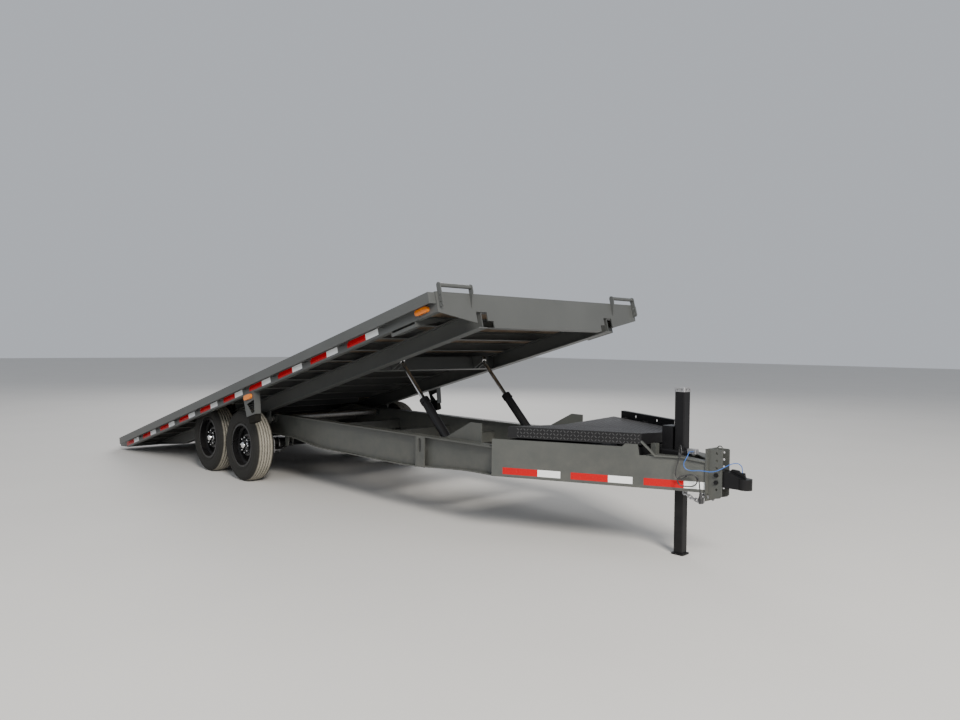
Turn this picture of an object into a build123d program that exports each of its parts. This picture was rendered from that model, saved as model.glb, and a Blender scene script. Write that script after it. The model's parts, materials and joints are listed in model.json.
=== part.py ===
"""Deck-over tilt equipment trailer, standing on its tyres and its drop-leg jack.

The full deck is shown tilted back about its pivot shaft, tail just off the ground.
Millimetres, +X forward, +Y left, +Z up. Pieces are laid out from the ground point
midway between the two axles, and moved at export so that the origin is the middle
of the trailer's footprint.
"""
import os
from math import atan2, cos, degrees, hypot, pi, radians, sin, sqrt, tan

from build123d import *

# Deck: position along the deck is called s, height above the pivot axis is t
TILT = 14.62                # deck angle as parked, degrees
DECK_FRONT = 3554           # pivot to the header plate
DECK_REAR = -3110           # pivot to the start of the tapered tail
TAIL_LENGTH = 307
TAIL_KNEE = 264             # start of the tail to its lower corner
TAIL_KNEE_RISE = 53
TAIL_EDGE = 17              # tail plate depth at the very end
DECK_HALF_WIDTH = 1295.4    # half of the 102 inch overall width
RUB_BAR = 10
RUB_HEIGHT = 85
RUB_REAR = -3217
POCKET_WIDTH = 100
POCKET_DEPTH = 56
POCKET_WALL = 5
POCKET_PITCH = 609.6
POCKET_COUNT = 10
POCKET_FIRST = -2558
SIDE_DEPTH = 146
SIDE_WALL = 6
SIDE_LIP = 40
SIDE_FOOT = 50
FLOOR_THICK = 38
PLANK_COUNT = 13
PLANK_GAP = 4
CROSS_DEPTH = 76
CROSS_WIDTH = 38
CROSS_WALL = 5
CROSS_PITCH = 406.4
BEAM_Y = 790
BEAM_FLANGE = 90
BEAM_FLANGE_THICK = 9
BEAM_WEB = 7
BEAM_DEPTH = 143
BEAM_TAPER_START = -2300
BEAM_TAPER_RISE = 121

# Wheels
AXLE_SPACING = 845.4
TYRE_R = 383.5
TYRE_WIDTH = 215
TYRE_SIDES = 56             # flats round the casing, which rests on one of them
WHEEL_Y = 980
RIM_LIP_R = 235
RIM_SEAT_R = 222
RIM_WELL_R = 196
RIM_HALF = 86
LIP_THICK = 7

# Frame: heights hang from the rail tops, which ride a set height above the axles
RAIL_TOP = TYRE_R + 328.5
RAIL_AXLE_BOTTOM = RAIL_TOP - 226
RAIL_MID_BOTTOM = RAIL_TOP - 282
RAIL_FRONT_BOTTOM = RAIL_TOP - 226
PIVOT_X = 465
PIVOT_Z = RAIL_TOP - 52
PIVOT_R = 30
RUN_CLEAR = 0.25
RAIL_Y = 680
RAIL_FLANGE = 100
RAIL_FLANGE_THICK = 10
RAIL_WEB = 8
RAIL_REAR = -800
RAIL_FRONT = 3935
RAIL_DROP_START = 800
RAIL_DROP_END = 1500
RAIL_RISE_START = 2700
RAIL_RISE_END = 3800
REST_GAP = 20               # underside of the deck's beams above the rails, deck level
BOSS_WALL = 20              # pivot boss round the shaft
BOSS_HALF = 45
GUIDE_RISE = 155            # deck guide fins above the rails
WEAR_PLATE = 5

# Axles and springs
AXLE_R = 44.5
BACKING_R = 165
DRUM_R = 158
SPRING_HALF = 325
SPRING_WIDTH = 45
LEAF = 9
LEAF_COUNT = 3
EYE_R = 20
EYE_Z = RAIL_AXLE_BOTTOM - 81
HANGER_PLATE = 8
U_BOLT_R = 7
U_BOLT_CLEAR = 1.5
SPRING_PLATE = 10

# Tongue
TONGUE_REAR_X = 3940
TONGUE_REAR_Y = 737
TONGUE_NOSE_X = 5386
TONGUE_NOSE_Y = 63.2
TONGUE_TOP = RAIL_TOP + 63
TONGUE_HIGH = RAIL_TOP + 86
TONGUE_LOW = RAIL_TOP + 8
TONGUE_END_TOP = RAIL_TOP - 15
TONGUE_BOTTOM = RAIL_FRONT_BOTTOM
TONGUE_WALL = 10
TONGUE_LEDGE = 20           # top flange overhang outboard
TONGUE_FLANGE = 75
TONGUE_FLANGE_THICK = 10
TONGUE_FOOT = 8
TONGUE_STEP = 1004          # along the plate, rear end to the raised step
TONGUE_STEP_END = 1119
TONGUE_SLOPE_START = 1142
TONGUE_SLOPE_END = 1242
TONGUE_BEND = 1434
TONGUE_FIN_TOP = RAIL_TOP + 113

# Tool box and lid
BOX_REAR = 4048
BOX_FRONT = 4960
BOX_WALL = 4
BOX_FLOOR = TONGUE_BOTTOM + 34
BOX_GAP = 0.3
BOX_TOP = TONGUE_TOP + 3
LID_BOTTOM = BOX_TOP + 12
LID_EDGE = LID_BOTTOM + 85
LID_FALL = 0.0478           # slope of each half, falling inward
LID_WALL = 3
LID_GAP = 6                 # lid skirt inside the tongue plates
LID_REAR = 4045
LID_FRONT = 4968
RELIEF_LENGTH = 45          # cut in the far rear skirt, which swings back as the lid opens
RELIEF_Y = 500
RELIEF_LEFT = 34            # skirt kept above the cut
RAIL_ANGLE_TOP = LID_EDGE + 60
RAIL_ANGLE_LENGTH = 830
HINGE_INSET = 8             # hinge pin inboard of the tongue plate's outer face
HINGE_Z = LID_EDGE + 2
HINGE_R = 7
HINGE_PIN_R = 4
HINGE_LENGTH = 36
HINGE_PLAY = 0.5
HINGE_SHARES = (0.12, 0.5, 0.88)

# Jack and coupler
JACK_X = 5150
JACK_OUTER = 80
JACK_WALL = 4.5
JACK_ROUND = 8              # corner radius of the square tubes
JACK_SLIDE = 0.4            # leg to tube, each side
JACK_TOP = RAIL_TOP + 465
JACK_CAP = 32
JACK_TUBE_BOTTOM = TONGUE_BOTTOM + 14
JACK_FOOT = 12
JACK_FOOT_HALF = 48
MOUNT_REAR = 5022
MOUNT_HALF = 58
MOUNT_TOP = RAIL_TOP + 215
MOUNT_WALL = 8
COLLAR_REAR = 4990
COLLAR_FRONT = 5205
COLLAR_HALF = 72
COLLAR_HEIGHT = 40
COLLAR_ROUND = 14
NOSE_PLATE = 12
NOSE_HALF = 80
CHANNEL_REAR = TONGUE_NOSE_X + NOSE_PLATE
CHANNEL_DEPTH = 100
CHANNEL_WIDTH = 108
CHANNEL_WALL = 9
CHANNEL_TOP = TONGUE_TOP + 20
CHANNEL_BOTTOM = TONGUE_BOTTOM - 46
CHANNEL_LIFT = 35           # lower front corner of the cheeks
HOLE_R = 9
HOLE_SET_BACK = 40
HOLE_PITCH = 50
BOLT_RISE = 2               # lower coupler bolt above the ball's centre
BOLT_HEAD = 12
RING_R = 20                 # lifting ring on a bar across the channel's top
RING_BAR = 4
BOLT_HEAD_R = 16
FIT = 0.3                   # gap of a fixed piece in its seat
BALL_X = 5642
BALL_Z = TONGUE_BOTTOM + 80
BALL_R = 29.6
SOCKET_WALL = 17
COUPLER_HALF = CHANNEL_WIDTH / 2 - CHANNEL_WALL - FIT
SHANK_TOP = 84              # coupler above the ball's centre, at the channel
HEAD_TOP = 46
HEAD_LOW = 29
LATCH_HALF = 9

# Cylinders
CYL_Y = 520
CYL_UPPER_S = 2142
CYL_UPPER_T = 149
CYL_LOWER_X = 3270
CYL_TUBE_X = CYL_LOWER_X + 75   # cross tube that carries the lower ears
CYL_LOWER_Z = RAIL_TOP - 135
CYL_BARREL_R = 40
CYL_ROD_R = 19
CYL_PIN_R = 14
CYL_EYE_R = 30
CYL_EYE_WIDTH = 44
CYL_EAR = 10
CYL_EAR_GAP = 2
CYL_BARREL_LENGTH = 590
CYL_BEAM_BACK = 112         # cross-beam's web behind the upper pins
PORT_R = 10
PORT_RISE = 14
PORT_INSET = 48

# Lamps and deck fittings
HEADER_THICK = 10
HEADER_TOP = 12             # above the floor top
HEADER_LIP = 40
NOTCH_INNER = 735
NOTCH_OUTER = 850
NOTCH_TOP = 198
WING_INNER_LOW = 109
WING_OUTER_LOW = 184
HEADER_LOW = 74
HEADER_STEP_Y = 675         # the lower corners clear the tongue plates, deck level
HEADER_STEP_T = 130
HOOP_R = 16
HOOP_IN = 24.4              # outer leg inboard of the side channel
HOOP_SPAN = 320
HOOP_RISE = 60
HOOP_LEG_LOW = 220
HOOP_LEG = 42

# Worked-out places
COS_T = cos(radians(TILT))
SIN_T = sin(radians(TILT))
BEAM_BOTTOM = RAIL_TOP + REST_GAP - PIVOT_Z
BEAM_TOP = BEAM_BOTTOM + BEAM_DEPTH
CROSS_TOP = BEAM_TOP + CROSS_DEPTH
FLOOR_TOP = CROSS_TOP + FLOOR_THICK
SIDE_TOP = FLOOR_TOP + SIDE_WALL
SIDE_BOTTOM = SIDE_TOP - SIDE_DEPTH
SIDE_Y = DECK_HALF_WIDTH - RUB_BAR - POCKET_DEPTH
TAIL_END = DECK_REAR - TAIL_LENGTH
TAIL_KNEE_S = DECK_REAR - TAIL_KNEE
TAIL_KNEE_T = SIDE_BOTTOM + TAIL_KNEE_RISE
TAIL_TIP_T = SIDE_TOP - TAIL_EDGE
RUB_TOP = SIDE_TOP
HEADER_FRONT = DECK_FRONT + HEADER_THICK
HOOP_OUTER = SIDE_Y - HOOP_IN
HOOP_INNER = HOOP_OUTER - HOOP_SPAN
HEADER_TOP_T = FLOOR_TOP + HEADER_TOP
JACK_INNER = JACK_OUTER - 2 * (JACK_WALL + JACK_SLIDE)
TONGUE_RUN = hypot(TONGUE_NOSE_X - TONGUE_REAR_X, TONGUE_REAR_Y - TONGUE_NOSE_Y)
TONGUE_ANGLE = degrees(atan2(TONGUE_REAR_Y - TONGUE_NOSE_Y, TONGUE_NOSE_X - TONGUE_REAR_X))
AXLES = {"front": AXLE_SPACING / 2, "rear": -AXLE_SPACING / 2}
SIDES = {"right": -1, "left": 1}


def on_deck(s, t):
    """World x and z of a deck point."""
    return PIVOT_X + s * COS_T - t * SIN_T, PIVOT_Z + s * SIN_T + t * COS_T


NOSE_X = BALL_X + BALL_R + SOCKET_WALL
ORIGIN_X = (NOSE_X + on_deck(TAIL_END, SIDE_TOP)[0]) / 2
DECK_PLACE = Pos(PIVOT_X, 0, PIVOT_Z) * Rot(0, -TILT, 0)


def block(x, y, z):
    """Box from pairs of limits."""
    size = [abs(pair[1] - pair[0]) for pair in (x, y, z)]
    return Pos(sum(x) / 2, sum(y) / 2, sum(z) / 2) * Box(*size)


def side_plate(outline, y):
    """Plate with an (x, z) outline between two y values."""
    wire = Polyline(*[(px, y[0], pz) for px, pz in outline], close=True)
    return extrude(make_face(wire), amount=y[1] - y[0], dir=(0, 1, 0))


def flat_plate(outline, z):
    """Plate with an (x, y) outline between two z values."""
    wire = Polyline(*[(px, py, z[0]) for px, py in outline], close=True)
    return extrude(make_face(wire), amount=z[1] - z[0], dir=(0, 0, 1))


def cross_plate(outline, x):
    """Plate with a (y, z) outline between two x values."""
    wire = Polyline(*[(x[0], py, pz) for py, pz in outline], close=True)
    return extrude(make_face(wire), amount=x[1] - x[0], dir=(1, 0, 0))


def rod_y(x, z, r, y):
    """Round bar along Y."""
    return Pos(x, sum(y) / 2, z) * Rot(90, 0, 0) * Cylinder(r, abs(y[1] - y[0]))


def rod_x(y, z, r, x):
    """Round bar along X."""
    return Pos(sum(x) / 2, y, z) * Rot(0, 90, 0) * Cylinder(r, abs(x[1] - x[0]))


def rod_z(x, y, r, z):
    """Round bar along Z."""
    return Pos(x, y, sum(z) / 2) * Cylinder(r, abs(z[1] - z[0]))


def i_beam(face, y, web, flange, thick):
    """I-beam whose web has an (x, z) face; the flanges follow its top and bottom."""
    middle = (Pos(0, 0, thick) * face) & (Pos(0, 0, -thick) * face)
    strips = face - middle
    body = extrude(face, amount=web / 2, dir=(0, 1, 0), both=True)
    body += extrude(strips, amount=flange / 2, dir=(0, 1, 0), both=True)
    return Pos(0, y, 0) * body


def other_side(shape):
    return mirror(shape, about=Plane.XZ)


def as_solids(shapes):
    """Every solid of a list of shapes, as one compound."""
    found = []
    for shape in shapes:
        found.extend(shape.solids())
    return Compound(found)


def save(name, *shapes):
    os.makedirs("parts", exist_ok=True)
    export_step(Pos(-ORIGIN_X, 0, 0) * as_solids(shapes), f"parts/{name}.step")


# Main rails: fabricated I-beams, deeper between the axles and the tool box,
# cut down behind the pivot so that the tilted deck clears them
RAIL_CROSS_GAP = 25


def rail_face():
    line_z = PIVOT_Z + BEAM_TOP / COS_T - RAIL_CROSS_GAP
    slope = SIN_T / COS_T
    rear_top = line_z + (RAIL_REAR - PIVOT_X) * slope
    knee_x = PIVOT_X + (RAIL_TOP - line_z) / slope
    drop = Spline((RAIL_DROP_START, 0, RAIL_AXLE_BOTTOM), (RAIL_DROP_END, 0, RAIL_MID_BOTTOM),
                  tangents=[(1, 0, 0), (1, 0, 0)])
    rise = Spline((RAIL_RISE_START, 0, RAIL_MID_BOTTOM), (RAIL_RISE_END, 0, RAIL_FRONT_BOTTOM),
                  tangents=[(1, 0, 0), (1, 0, 0)])
    edges = [
        Line((RAIL_REAR, 0, RAIL_AXLE_BOTTOM), drop @ 0), drop, Line(drop @ 1, rise @ 0), rise,
        Polyline(rise @ 1, (RAIL_FRONT, 0, RAIL_FRONT_BOTTOM), (RAIL_FRONT, 0, RAIL_TOP),
                 (knee_x, 0, RAIL_TOP), (RAIL_REAR, 0, rear_top), (RAIL_REAR, 0, RAIL_AXLE_BOTTOM)),
    ]
    return make_face(edges)


GUSSET_X = 3050
GUSSET_HALF = 60
GUSSET_THICK = 8
SLOT_HEIGHT = 118
SLOT_WIDTH = 42
SLOT_DROP = 82


def rail_right():
    beam = i_beam(rail_face(), -RAIL_Y, RAIL_WEB, RAIL_FLANGE, RAIL_FLANGE_THICK)
    beam -= rod_y(PIVOT_X, PIVOT_Z, PIVOT_R, (-RAIL_Y - 60, -RAIL_Y + 60))
    reach = (-RAIL_Y - BOSS_HALF, -RAIL_Y + BOSS_HALF)
    boss = rod_y(PIVOT_X, PIVOT_Z, PIVOT_R + BOSS_WALL, reach)
    boss -= rod_y(PIVOT_X, PIVOT_Z, PIVOT_R, (reach[0] - 1, reach[1] + 1))
    size = PIVOT_R + BOSS_WALL
    beam += boss & block((PIVOT_X - size, PIVOT_X + size), reach, (PIVOT_Z - size, RAIL_TOP - 1))
    outer = -RAIL_Y - RAIL_FLANGE / 2
    gusset = block((GUSSET_X - GUSSET_HALF, GUSSET_X + GUSSET_HALF), (outer, outer + GUSSET_THICK),
                   (RAIL_MID_BOTTOM + 14, RAIL_TOP - 2))
    slot = Pos(GUSSET_X - 7, outer, RAIL_TOP - SLOT_DROP) * Rot(-90, 0, 0) * Rot(0, 0, 90) * SlotOverall(
        SLOT_HEIGHT, SLOT_WIDTH)
    return beam + (gusset - extrude(slot, amount=GUSSET_THICK + 1, both=True))


# Frame cross-members: rectangular tubes between the rail webs
CROSS_TUBES = (             # x, width, top and bottom below the rail tops
    (-700, 50, 182, 212),
    (0, 60, 72, 172),
    (900, 60, 112, 212),
    (1800, 60, 112, 212),
    (2500, 60, 112, 212),
    (CYL_TUBE_X, 60, 92, 212),
)


def frame_cross_tubes():
    reach = RAIL_Y - RAIL_WEB / 2
    return [block((x - w / 2, x + w / 2), (-reach, reach), (RAIL_TOP - low, RAIL_TOP - high))
            for x, w, high, low in CROSS_TUBES]


# Deck guides and wear plates on the rail tops
GUIDE_THICK = 10
WEAR_X = (3300, 3900)


def frame_guides():
    pieces = []
    inner = RAIL_Y - RAIL_FLANGE / 2
    top = RAIL_TOP + GUIDE_RISE
    for side in SIDES.values():
        fin = [(3280, RAIL_TOP), (3590, top), (3720, top), (3720, RAIL_TOP)]
        pieces.append(side_plate(fin, sorted((side * (inner + 2), side * (inner + 2 + GUIDE_THICK)))))
        wear = sorted((side * (inner + GUIDE_THICK + 5), side * (RAIL_Y + RAIL_FLANGE / 2 - 3)))
        pieces.append(block(WEAR_X, wear, (RAIL_TOP, RAIL_TOP + WEAR_PLATE)))
    return pieces


# Tongue: two side plates converging to the coupler, with a stepped top edge
def tongue_right():
    end = TONGUE_RUN
    low, high = TONGUE_LOW, TONGUE_HIGH
    outline = [
        (0, TONGUE_BOTTOM), (end, TONGUE_BOTTOM), (end, TONGUE_END_TOP), (TONGUE_BEND, low),
        (TONGUE_STEP_END + 12, low), (TONGUE_STEP_END, high), (TONGUE_STEP + 24, high),
        (TONGUE_STEP, TONGUE_TOP), (0, TONGUE_TOP),
    ]
    web = side_plate(outline, (0, TONGUE_WALL))
    thick = TONGUE_FLANGE_THICK
    fin = [
        (TONGUE_SLOPE_START, TONGUE_FIN_TOP - thick), (TONGUE_SLOPE_END, low),
        (TONGUE_SLOPE_END + 5, low + thick), (TONGUE_SLOPE_START + 8, TONGUE_FIN_TOP),
        (TONGUE_SLOPE_START, TONGUE_FIN_TOP),
    ]
    ledge = [
        (TONGUE_SLOPE_END, low), (TONGUE_BEND, low), (end, TONGUE_END_TOP),
        (end, TONGUE_END_TOP + thick), (TONGUE_BEND, low + thick), (TONGUE_SLOPE_END, low + thick),
    ]
    flange = side_plate(fin, (-TONGUE_LEDGE, TONGUE_WALL))
    flange += side_plate(ledge, (-TONGUE_LEDGE, TONGUE_FLANGE - TONGUE_LEDGE))
    foot = block((160, end), (0, 60), (TONGUE_BOTTOM, TONGUE_BOTTOM + TONGUE_FOOT))
    plate = Pos(TONGUE_REAR_X, -TONGUE_REAR_Y, 0) * Rot(0, 0, TONGUE_ANGLE) * (web + flange + foot)
    tall = (TONGUE_BOTTOM - 1, TONGUE_FIN_TOP + 1)
    plate -= block((TONGUE_NOSE_X, TONGUE_NOSE_X + 300), (-400, 400), tall)
    plate -= block((TONGUE_REAR_X, TONGUE_NOSE_X + 300), (0, 400), tall)
    return plate


# Cross plates of the tongue: rear box member, jack plates, nose plate and its chain slots
JACK_PLATE = (4975, 5210)
PLATE_THICK = 10
REAR_WALL = 8
CHAIN_Y = 90                # chain lug, out from the middle
CHAIN_X = 5236
CHAIN_DROP = 18             # lug hole below the tongue
SLOT_Y = 64                 # nose plate's slots for the chain hooks
SLOT_LOW = TONGUE_BOTTOM - 34
STUB = (4976, 5016, -132, 48, 78)         # rear, front, near side, width, height


def tongue_cross_plates():
    inset = TONGUE_WALL / cos(radians(TONGUE_ANGLE))
    low, wall = TONGUE_BOTTOM, REAR_WALL
    rear = flat_plate(tongue_plan(RAIL_FRONT, BOX_REAR - 20, inset), (low, TONGUE_LOW - 20))
    rear -= flat_plate(tongue_plan(RAIL_FRONT + wall, BOX_REAR - 20 - wall, inset + wall),
                       (low - 1, TONGUE_LOW - 20 - wall))
    reach = RAIL_Y + RAIL_FLANGE / 2
    rear &= block((RAIL_FRONT, TONGUE_NOSE_X), (-reach, reach), (0, JACK_TOP))
    half = JACK_OUTER / 2 + RUN_CLEAR
    shaft = block((JACK_X - half, JACK_X + half), (-half, half), (0, JACK_TOP))
    deck = flat_plate(tongue_plan(*JACK_PLATE, inset), (TONGUE_LOW - PLATE_THICK, TONGUE_LOW)) - shaft
    deck += block(STUB[:2], (STUB[2], STUB[2] + STUB[3]), (TONGUE_LOW - 1, TONGUE_LOW + STUB[4]))
    foot = flat_plate(tongue_plan(JACK_PLATE[0] + 110, JACK_PLATE[1], inset),
                      (low + TONGUE_FOOT, low + 2 * TONGUE_FOOT)) - shaft
    nose = block((TONGUE_NOSE_X, CHANNEL_REAR), (-NOSE_HALF, NOSE_HALF), (CHANNEL_BOTTOM - 8, CHANNEL_TOP))
    for side in SIDES.values():
        slot = sorted((side * (SLOT_Y - 9), side * (SLOT_Y + 9)))
        nose -= block((TONGUE_NOSE_X - 1, CHANNEL_REAR + 1), slot, (SLOT_LOW, SLOT_LOW + 30))
    return [rear, deck, foot, nose]


# Safety chains: lugs under the tongue, five links a side and a hook in the nose plate
LINK_BAR = 7
LINK_INSIDE = 28
LINK_WIDE = 14
LINK_PITCH = 26.5
LINK_TURNS = (-32, -29, -24, -16, -6)     # fall of each link along the chain, degrees
LUG_R = 16
LUG_HALF = 4


def link():
    """Welded link lying flat: an eight-cornered ring of square bar."""
    ring = extrude(Rectangle(LINK_INSIDE + 2 * LINK_BAR, LINK_WIDE + 2 * LINK_BAR), LINK_BAR / 2, both=True)
    ring = chamfer(ring.edges().filter_by(Axis.Z), LINK_BAR)
    hole = extrude(Rectangle(LINK_INSIDE, LINK_WIDE), LINK_BAR, both=True)
    return ring - chamfer(hole.edges().filter_by(Axis.Z), LINK_WIDE / 4)


def chain():
    """Chain in its own upright plane: lug hole at the start, hook at the end."""
    z = -CHAIN_DROP
    lug = Rot(90, 0, 0) * extrude(Circle(LUG_R), LUG_HALF, both=True)
    lug = Pos(0, 0, z) * lug + block((-LUG_R, LUG_R), (-LUG_HALF, LUG_HALF), (z, 0))
    lug -= rod_y(0, z, LUG_R - 6, (-LUG_HALF - 1, LUG_HALF + 1))
    pieces = [lug]
    step = (LINK_INSIDE + LINK_BAR) / 2
    x = 0
    for k, turn in enumerate(LINK_TURNS):
        x, z = x + step * cos(radians(turn)), z + step * sin(radians(turn))
        pieces.append(Pos(x, 0, z) * Rot(0, -turn, 0) * Rot(90 * (k % 2), 0, 0) * link())
        step = LINK_PITCH
    reach = (LINK_INSIDE + LINK_BAR) / 2
    x, z = x + reach * cos(radians(turn)), z + reach * sin(radians(turn))
    path = ((x, z), (x + 6, z + 30), (x + 22, z + 45), (x + 36, z + 43), (x + 38, z + 30))
    hook = Circle(12)
    hook = Pos(*path[0]) * hook
    for one, two in zip(path, path[1:]):
        run = hypot(two[0] - one[0], two[1] - one[1])
        middle = Pos((one[0] + two[0]) / 2, (one[1] + two[1]) / 2)
        lean = degrees(atan2(two[1] - one[1], two[0] - one[0]))
        hook += middle * Rot(0, 0, lean) * SlotCenterToCenter(run, 9)
    hook -= Pos(*path[0]) * Circle(6.5)
    pieces.append(Rot(90, 0, 0) * extrude(hook, 4, both=True))
    return pieces


def safety_chains():
    run = atan2(SLOT_Y - CHAIN_Y, TONGUE_NOSE_X - CHAIN_X)
    right = [Pos(CHAIN_X, -CHAIN_Y, TONGUE_BOTTOM) * Rot(0, 0, -degrees(run)) * piece for piece in chain()]
    return right + [other_side(piece) for piece in right]


# Angle along the tool box's far edge, carrying the lid's hinge
ANGLE_START = (LID_REAR + 100 - TONGUE_REAR_X) / cos(radians(TONGUE_ANGLE))
FAR_EDGE = Pos(TONGUE_REAR_X, TONGUE_REAR_Y, 0) * Rot(0, 0, -TONGUE_ANGLE)


def hinge_centres():
    return [ANGLE_START + share * RAIL_ANGLE_LENGTH for share in HINGE_SHARES]


def box_angle():
    start, stop = ANGLE_START, ANGLE_START + RAIL_ANGLE_LENGTH
    angle = block((start, stop), (0, 6), (TONGUE_TOP - 30, RAIL_ANGLE_TOP))
    angle += block((start, stop), (0, 40), (RAIL_ANGLE_TOP - 6, RAIL_ANGLE_TOP))
    for share in (0.3, 0.7):
        angle -= rod_y(start + share * RAIL_ANGLE_LENGTH, RAIL_ANGLE_TOP - 30, 12, (-1, 7))
    for x in hinge_centres():
        for low, high in ((x - HINGE_LENGTH, x - HINGE_LENGTH / 2), (x + HINGE_LENGTH / 2, x + HINGE_LENGTH)):
            angle += rod_x(-HINGE_INSET, HINGE_Z, HINGE_R, (low, high))
            angle += block((low, high), (-HINGE_INSET, 0), (HINGE_Z, HINGE_Z + HINGE_R))
        angle += rod_x(-HINGE_INSET, HINGE_Z, HINGE_PIN_R, (x - HINGE_LENGTH, x + HINGE_LENGTH))
    return FAR_EDGE * angle


def lid_knuckles():
    half = HINGE_LENGTH / 2 - HINGE_PLAY
    reach = TONGUE_WALL + LID_GAP
    pieces = []
    for x in hinge_centres():
        knuckle = rod_x(-HINGE_INSET, HINGE_Z, HINGE_R, (x - half, x + half))
        knuckle += block((x - half, x + half), (-reach - 3, -HINGE_INSET), (LID_EDGE - LID_WALL, HINGE_Z))
        knuckle -= rod_x(-HINGE_INSET, HINGE_Z, HINGE_PIN_R + RUN_CLEAR, (x - half - 1, x + half + 1))
        pieces.append(FAR_EDGE * knuckle)
    return pieces


def tongue_half_width(x):
    return TONGUE_REAR_Y - (x - TONGUE_REAR_X) * (TONGUE_REAR_Y - TONGUE_NOSE_Y) / (
        TONGUE_NOSE_X - TONGUE_REAR_X)


def tongue_plan(rear, front, inset):
    """Trapezoid between the tongue plates, inset across from their outer faces."""
    back, nose = tongue_half_width(rear) - inset, tongue_half_width(front) - inset
    return [(rear, -back), (front, -nose), (front, nose), (rear, back)]


# Tool box: open-topped tray between the tongue plates
def tool_box():
    inset = TONGUE_WALL / cos(radians(TONGUE_ANGLE)) + BOX_GAP
    shell = flat_plate(tongue_plan(BOX_REAR, BOX_FRONT, inset), (BOX_FLOOR, BOX_TOP))
    inside = tongue_plan(BOX_REAR + BOX_WALL, BOX_FRONT - BOX_WALL, inset + BOX_WALL * 1.15)
    shell -= flat_plate(inside, (BOX_FLOOR + BOX_WALL, BOX_TOP + 1))
    return shell


# Lid: tread plate folded along the middle, each half falling inward from its outer edge
def lid_half(drop, inset, x):
    """Right half: a wedge along the tongue plate, cut square at its ends and at the fold."""
    wide = TONGUE_REAR_Y
    rim = LID_EDGE - drop
    section = [(inset, LID_BOTTOM), (inset, rim), (wide, rim - LID_FALL * (wide - inset)), (wide, LID_BOTTOM)]
    wedge = Pos(TONGUE_REAR_X, -TONGUE_REAR_Y, 0) * Rot(0, 0, TONGUE_ANGLE) * cross_plate(
        section, (0, TONGUE_RUN))
    return wedge & block(x, (-TONGUE_REAR_Y, 0), (LID_BOTTOM, LID_EDGE))


def tool_box_lid():
    inset = TONGUE_WALL + LID_GAP
    outer = lid_half(0, inset, (LID_REAR, LID_FRONT))
    ends = (LID_REAR + LID_WALL, LID_FRONT - LID_WALL)
    inner = Pos(0, 0, -1) * lid_half(LID_WALL - 1, inset + LID_WALL, ends)
    half = outer - inner
    lid = half + other_side(half)
    lid -= block((LID_REAR - 1, LID_REAR + RELIEF_LENGTH), (RELIEF_Y, TONGUE_REAR_Y),
                 (LID_BOTTOM - 1, LID_EDGE - RELIEF_LEFT + 1))
    for knuckle in lid_knuckles():
        lid += knuckle
    return lid


# Power unit in the tool box: oil tank with its motor, and a battery
TANK = (4640, 4860, 230, 170)             # rear, front, width, height
BATTERY = (4330, 4590, 172, 205)


def power_unit():
    floor = BOX_FLOOR + BOX_WALL
    rear, front, width, height = TANK
    tank = Pos((rear + front) / 2, 0, floor) * extrude(RectangleRounded(front - rear, width, 20), height)
    tank += rod_x(0, floor + height / 2, 42, (front, front + 70))
    tank += rod_z(rear + 60, 0, 46, (floor + height, floor + height + 40))
    rear, front, width, height = BATTERY
    middle = (rear + front) / 2
    battery = block((rear, front), (-width / 2, width / 2), (floor, floor + height))
    battery += block((rear - 8, front + 8), (-width / 2 - 8, width / 2 + 8), (floor, floor + 30))
    for x in (middle - 90, middle + 90):
        battery += rod_z(x, 50, 9, (floor + height, floor + height + 16))
    return [tank, battery]


# Jack: square outer tube with a box mount and base collar, drop leg inside it
def square_tube(x, size, wall, z):
    """Upright square tube with rounded corners, closed by nothing."""
    tube = RectangleRounded(size, size, JACK_ROUND) - RectangleRounded(
        size - 2 * wall, size - 2 * wall, JACK_ROUND - wall)
    return Pos(x, 0, z[0]) * extrude(tube, z[1] - z[0])


def jack_tube():
    half = JACK_OUTER / 2
    tube = square_tube(JACK_X, JACK_OUTER, JACK_WALL, (JACK_TUBE_BOTTOM, JACK_TOP))
    wall = MOUNT_WALL
    mount = block((MOUNT_REAR, JACK_X - half), (-MOUNT_HALF, MOUNT_HALF), (TONGUE_LOW, MOUNT_TOP))
    mount -= block((MOUNT_REAR + wall, JACK_X - half), (-MOUNT_HALF + wall, MOUNT_HALF - wall),
                   (TONGUE_LOW - 1, MOUNT_TOP - wall))
    middle = (COLLAR_REAR + COLLAR_FRONT) / 2
    collar = Pos(middle, 0, TONGUE_LOW) * extrude(
        RectangleRounded(COLLAR_FRONT - COLLAR_REAR, 2 * COLLAR_HALF, 30), COLLAR_HEIGHT)
    collar = fillet(collar.faces().sort_by(Axis.Z)[-1].edges(), COLLAR_ROUND)
    collar -= block((JACK_X - half, JACK_X + half), (-half, half), (TONGUE_LOW - 1, MOUNT_TOP))
    collar -= block((MOUNT_REAR + wall, JACK_X - half), (-MOUNT_HALF + wall, MOUNT_HALF - wall),
                    (TONGUE_LOW - 1, MOUNT_TOP))
    return tube + mount + collar


def jack_cap():
    """Cast cap in the tube's top, held by two screws a side."""
    half = JACK_OUTER / 2
    outline = RectangleRounded(JACK_OUTER + 4, JACK_OUTER + 4, JACK_ROUND)
    cap = Pos(JACK_X, 0, JACK_TOP) * extrude(outline, JACK_CAP)
    cap = fillet(cap.faces().sort_by(Axis.Z)[-1].edges(), 5)
    for y in (-18, 18):
        cap -= rod_x(y, JACK_TOP + JACK_CAP / 2, 6, (JACK_X + half - 6, JACK_X + half + 3))
    for x in (JACK_X - 18, JACK_X + 18):
        cap -= rod_y(x, JACK_TOP + JACK_CAP / 2, 6, (-half - 3, -half + 6))
    return cap


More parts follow.
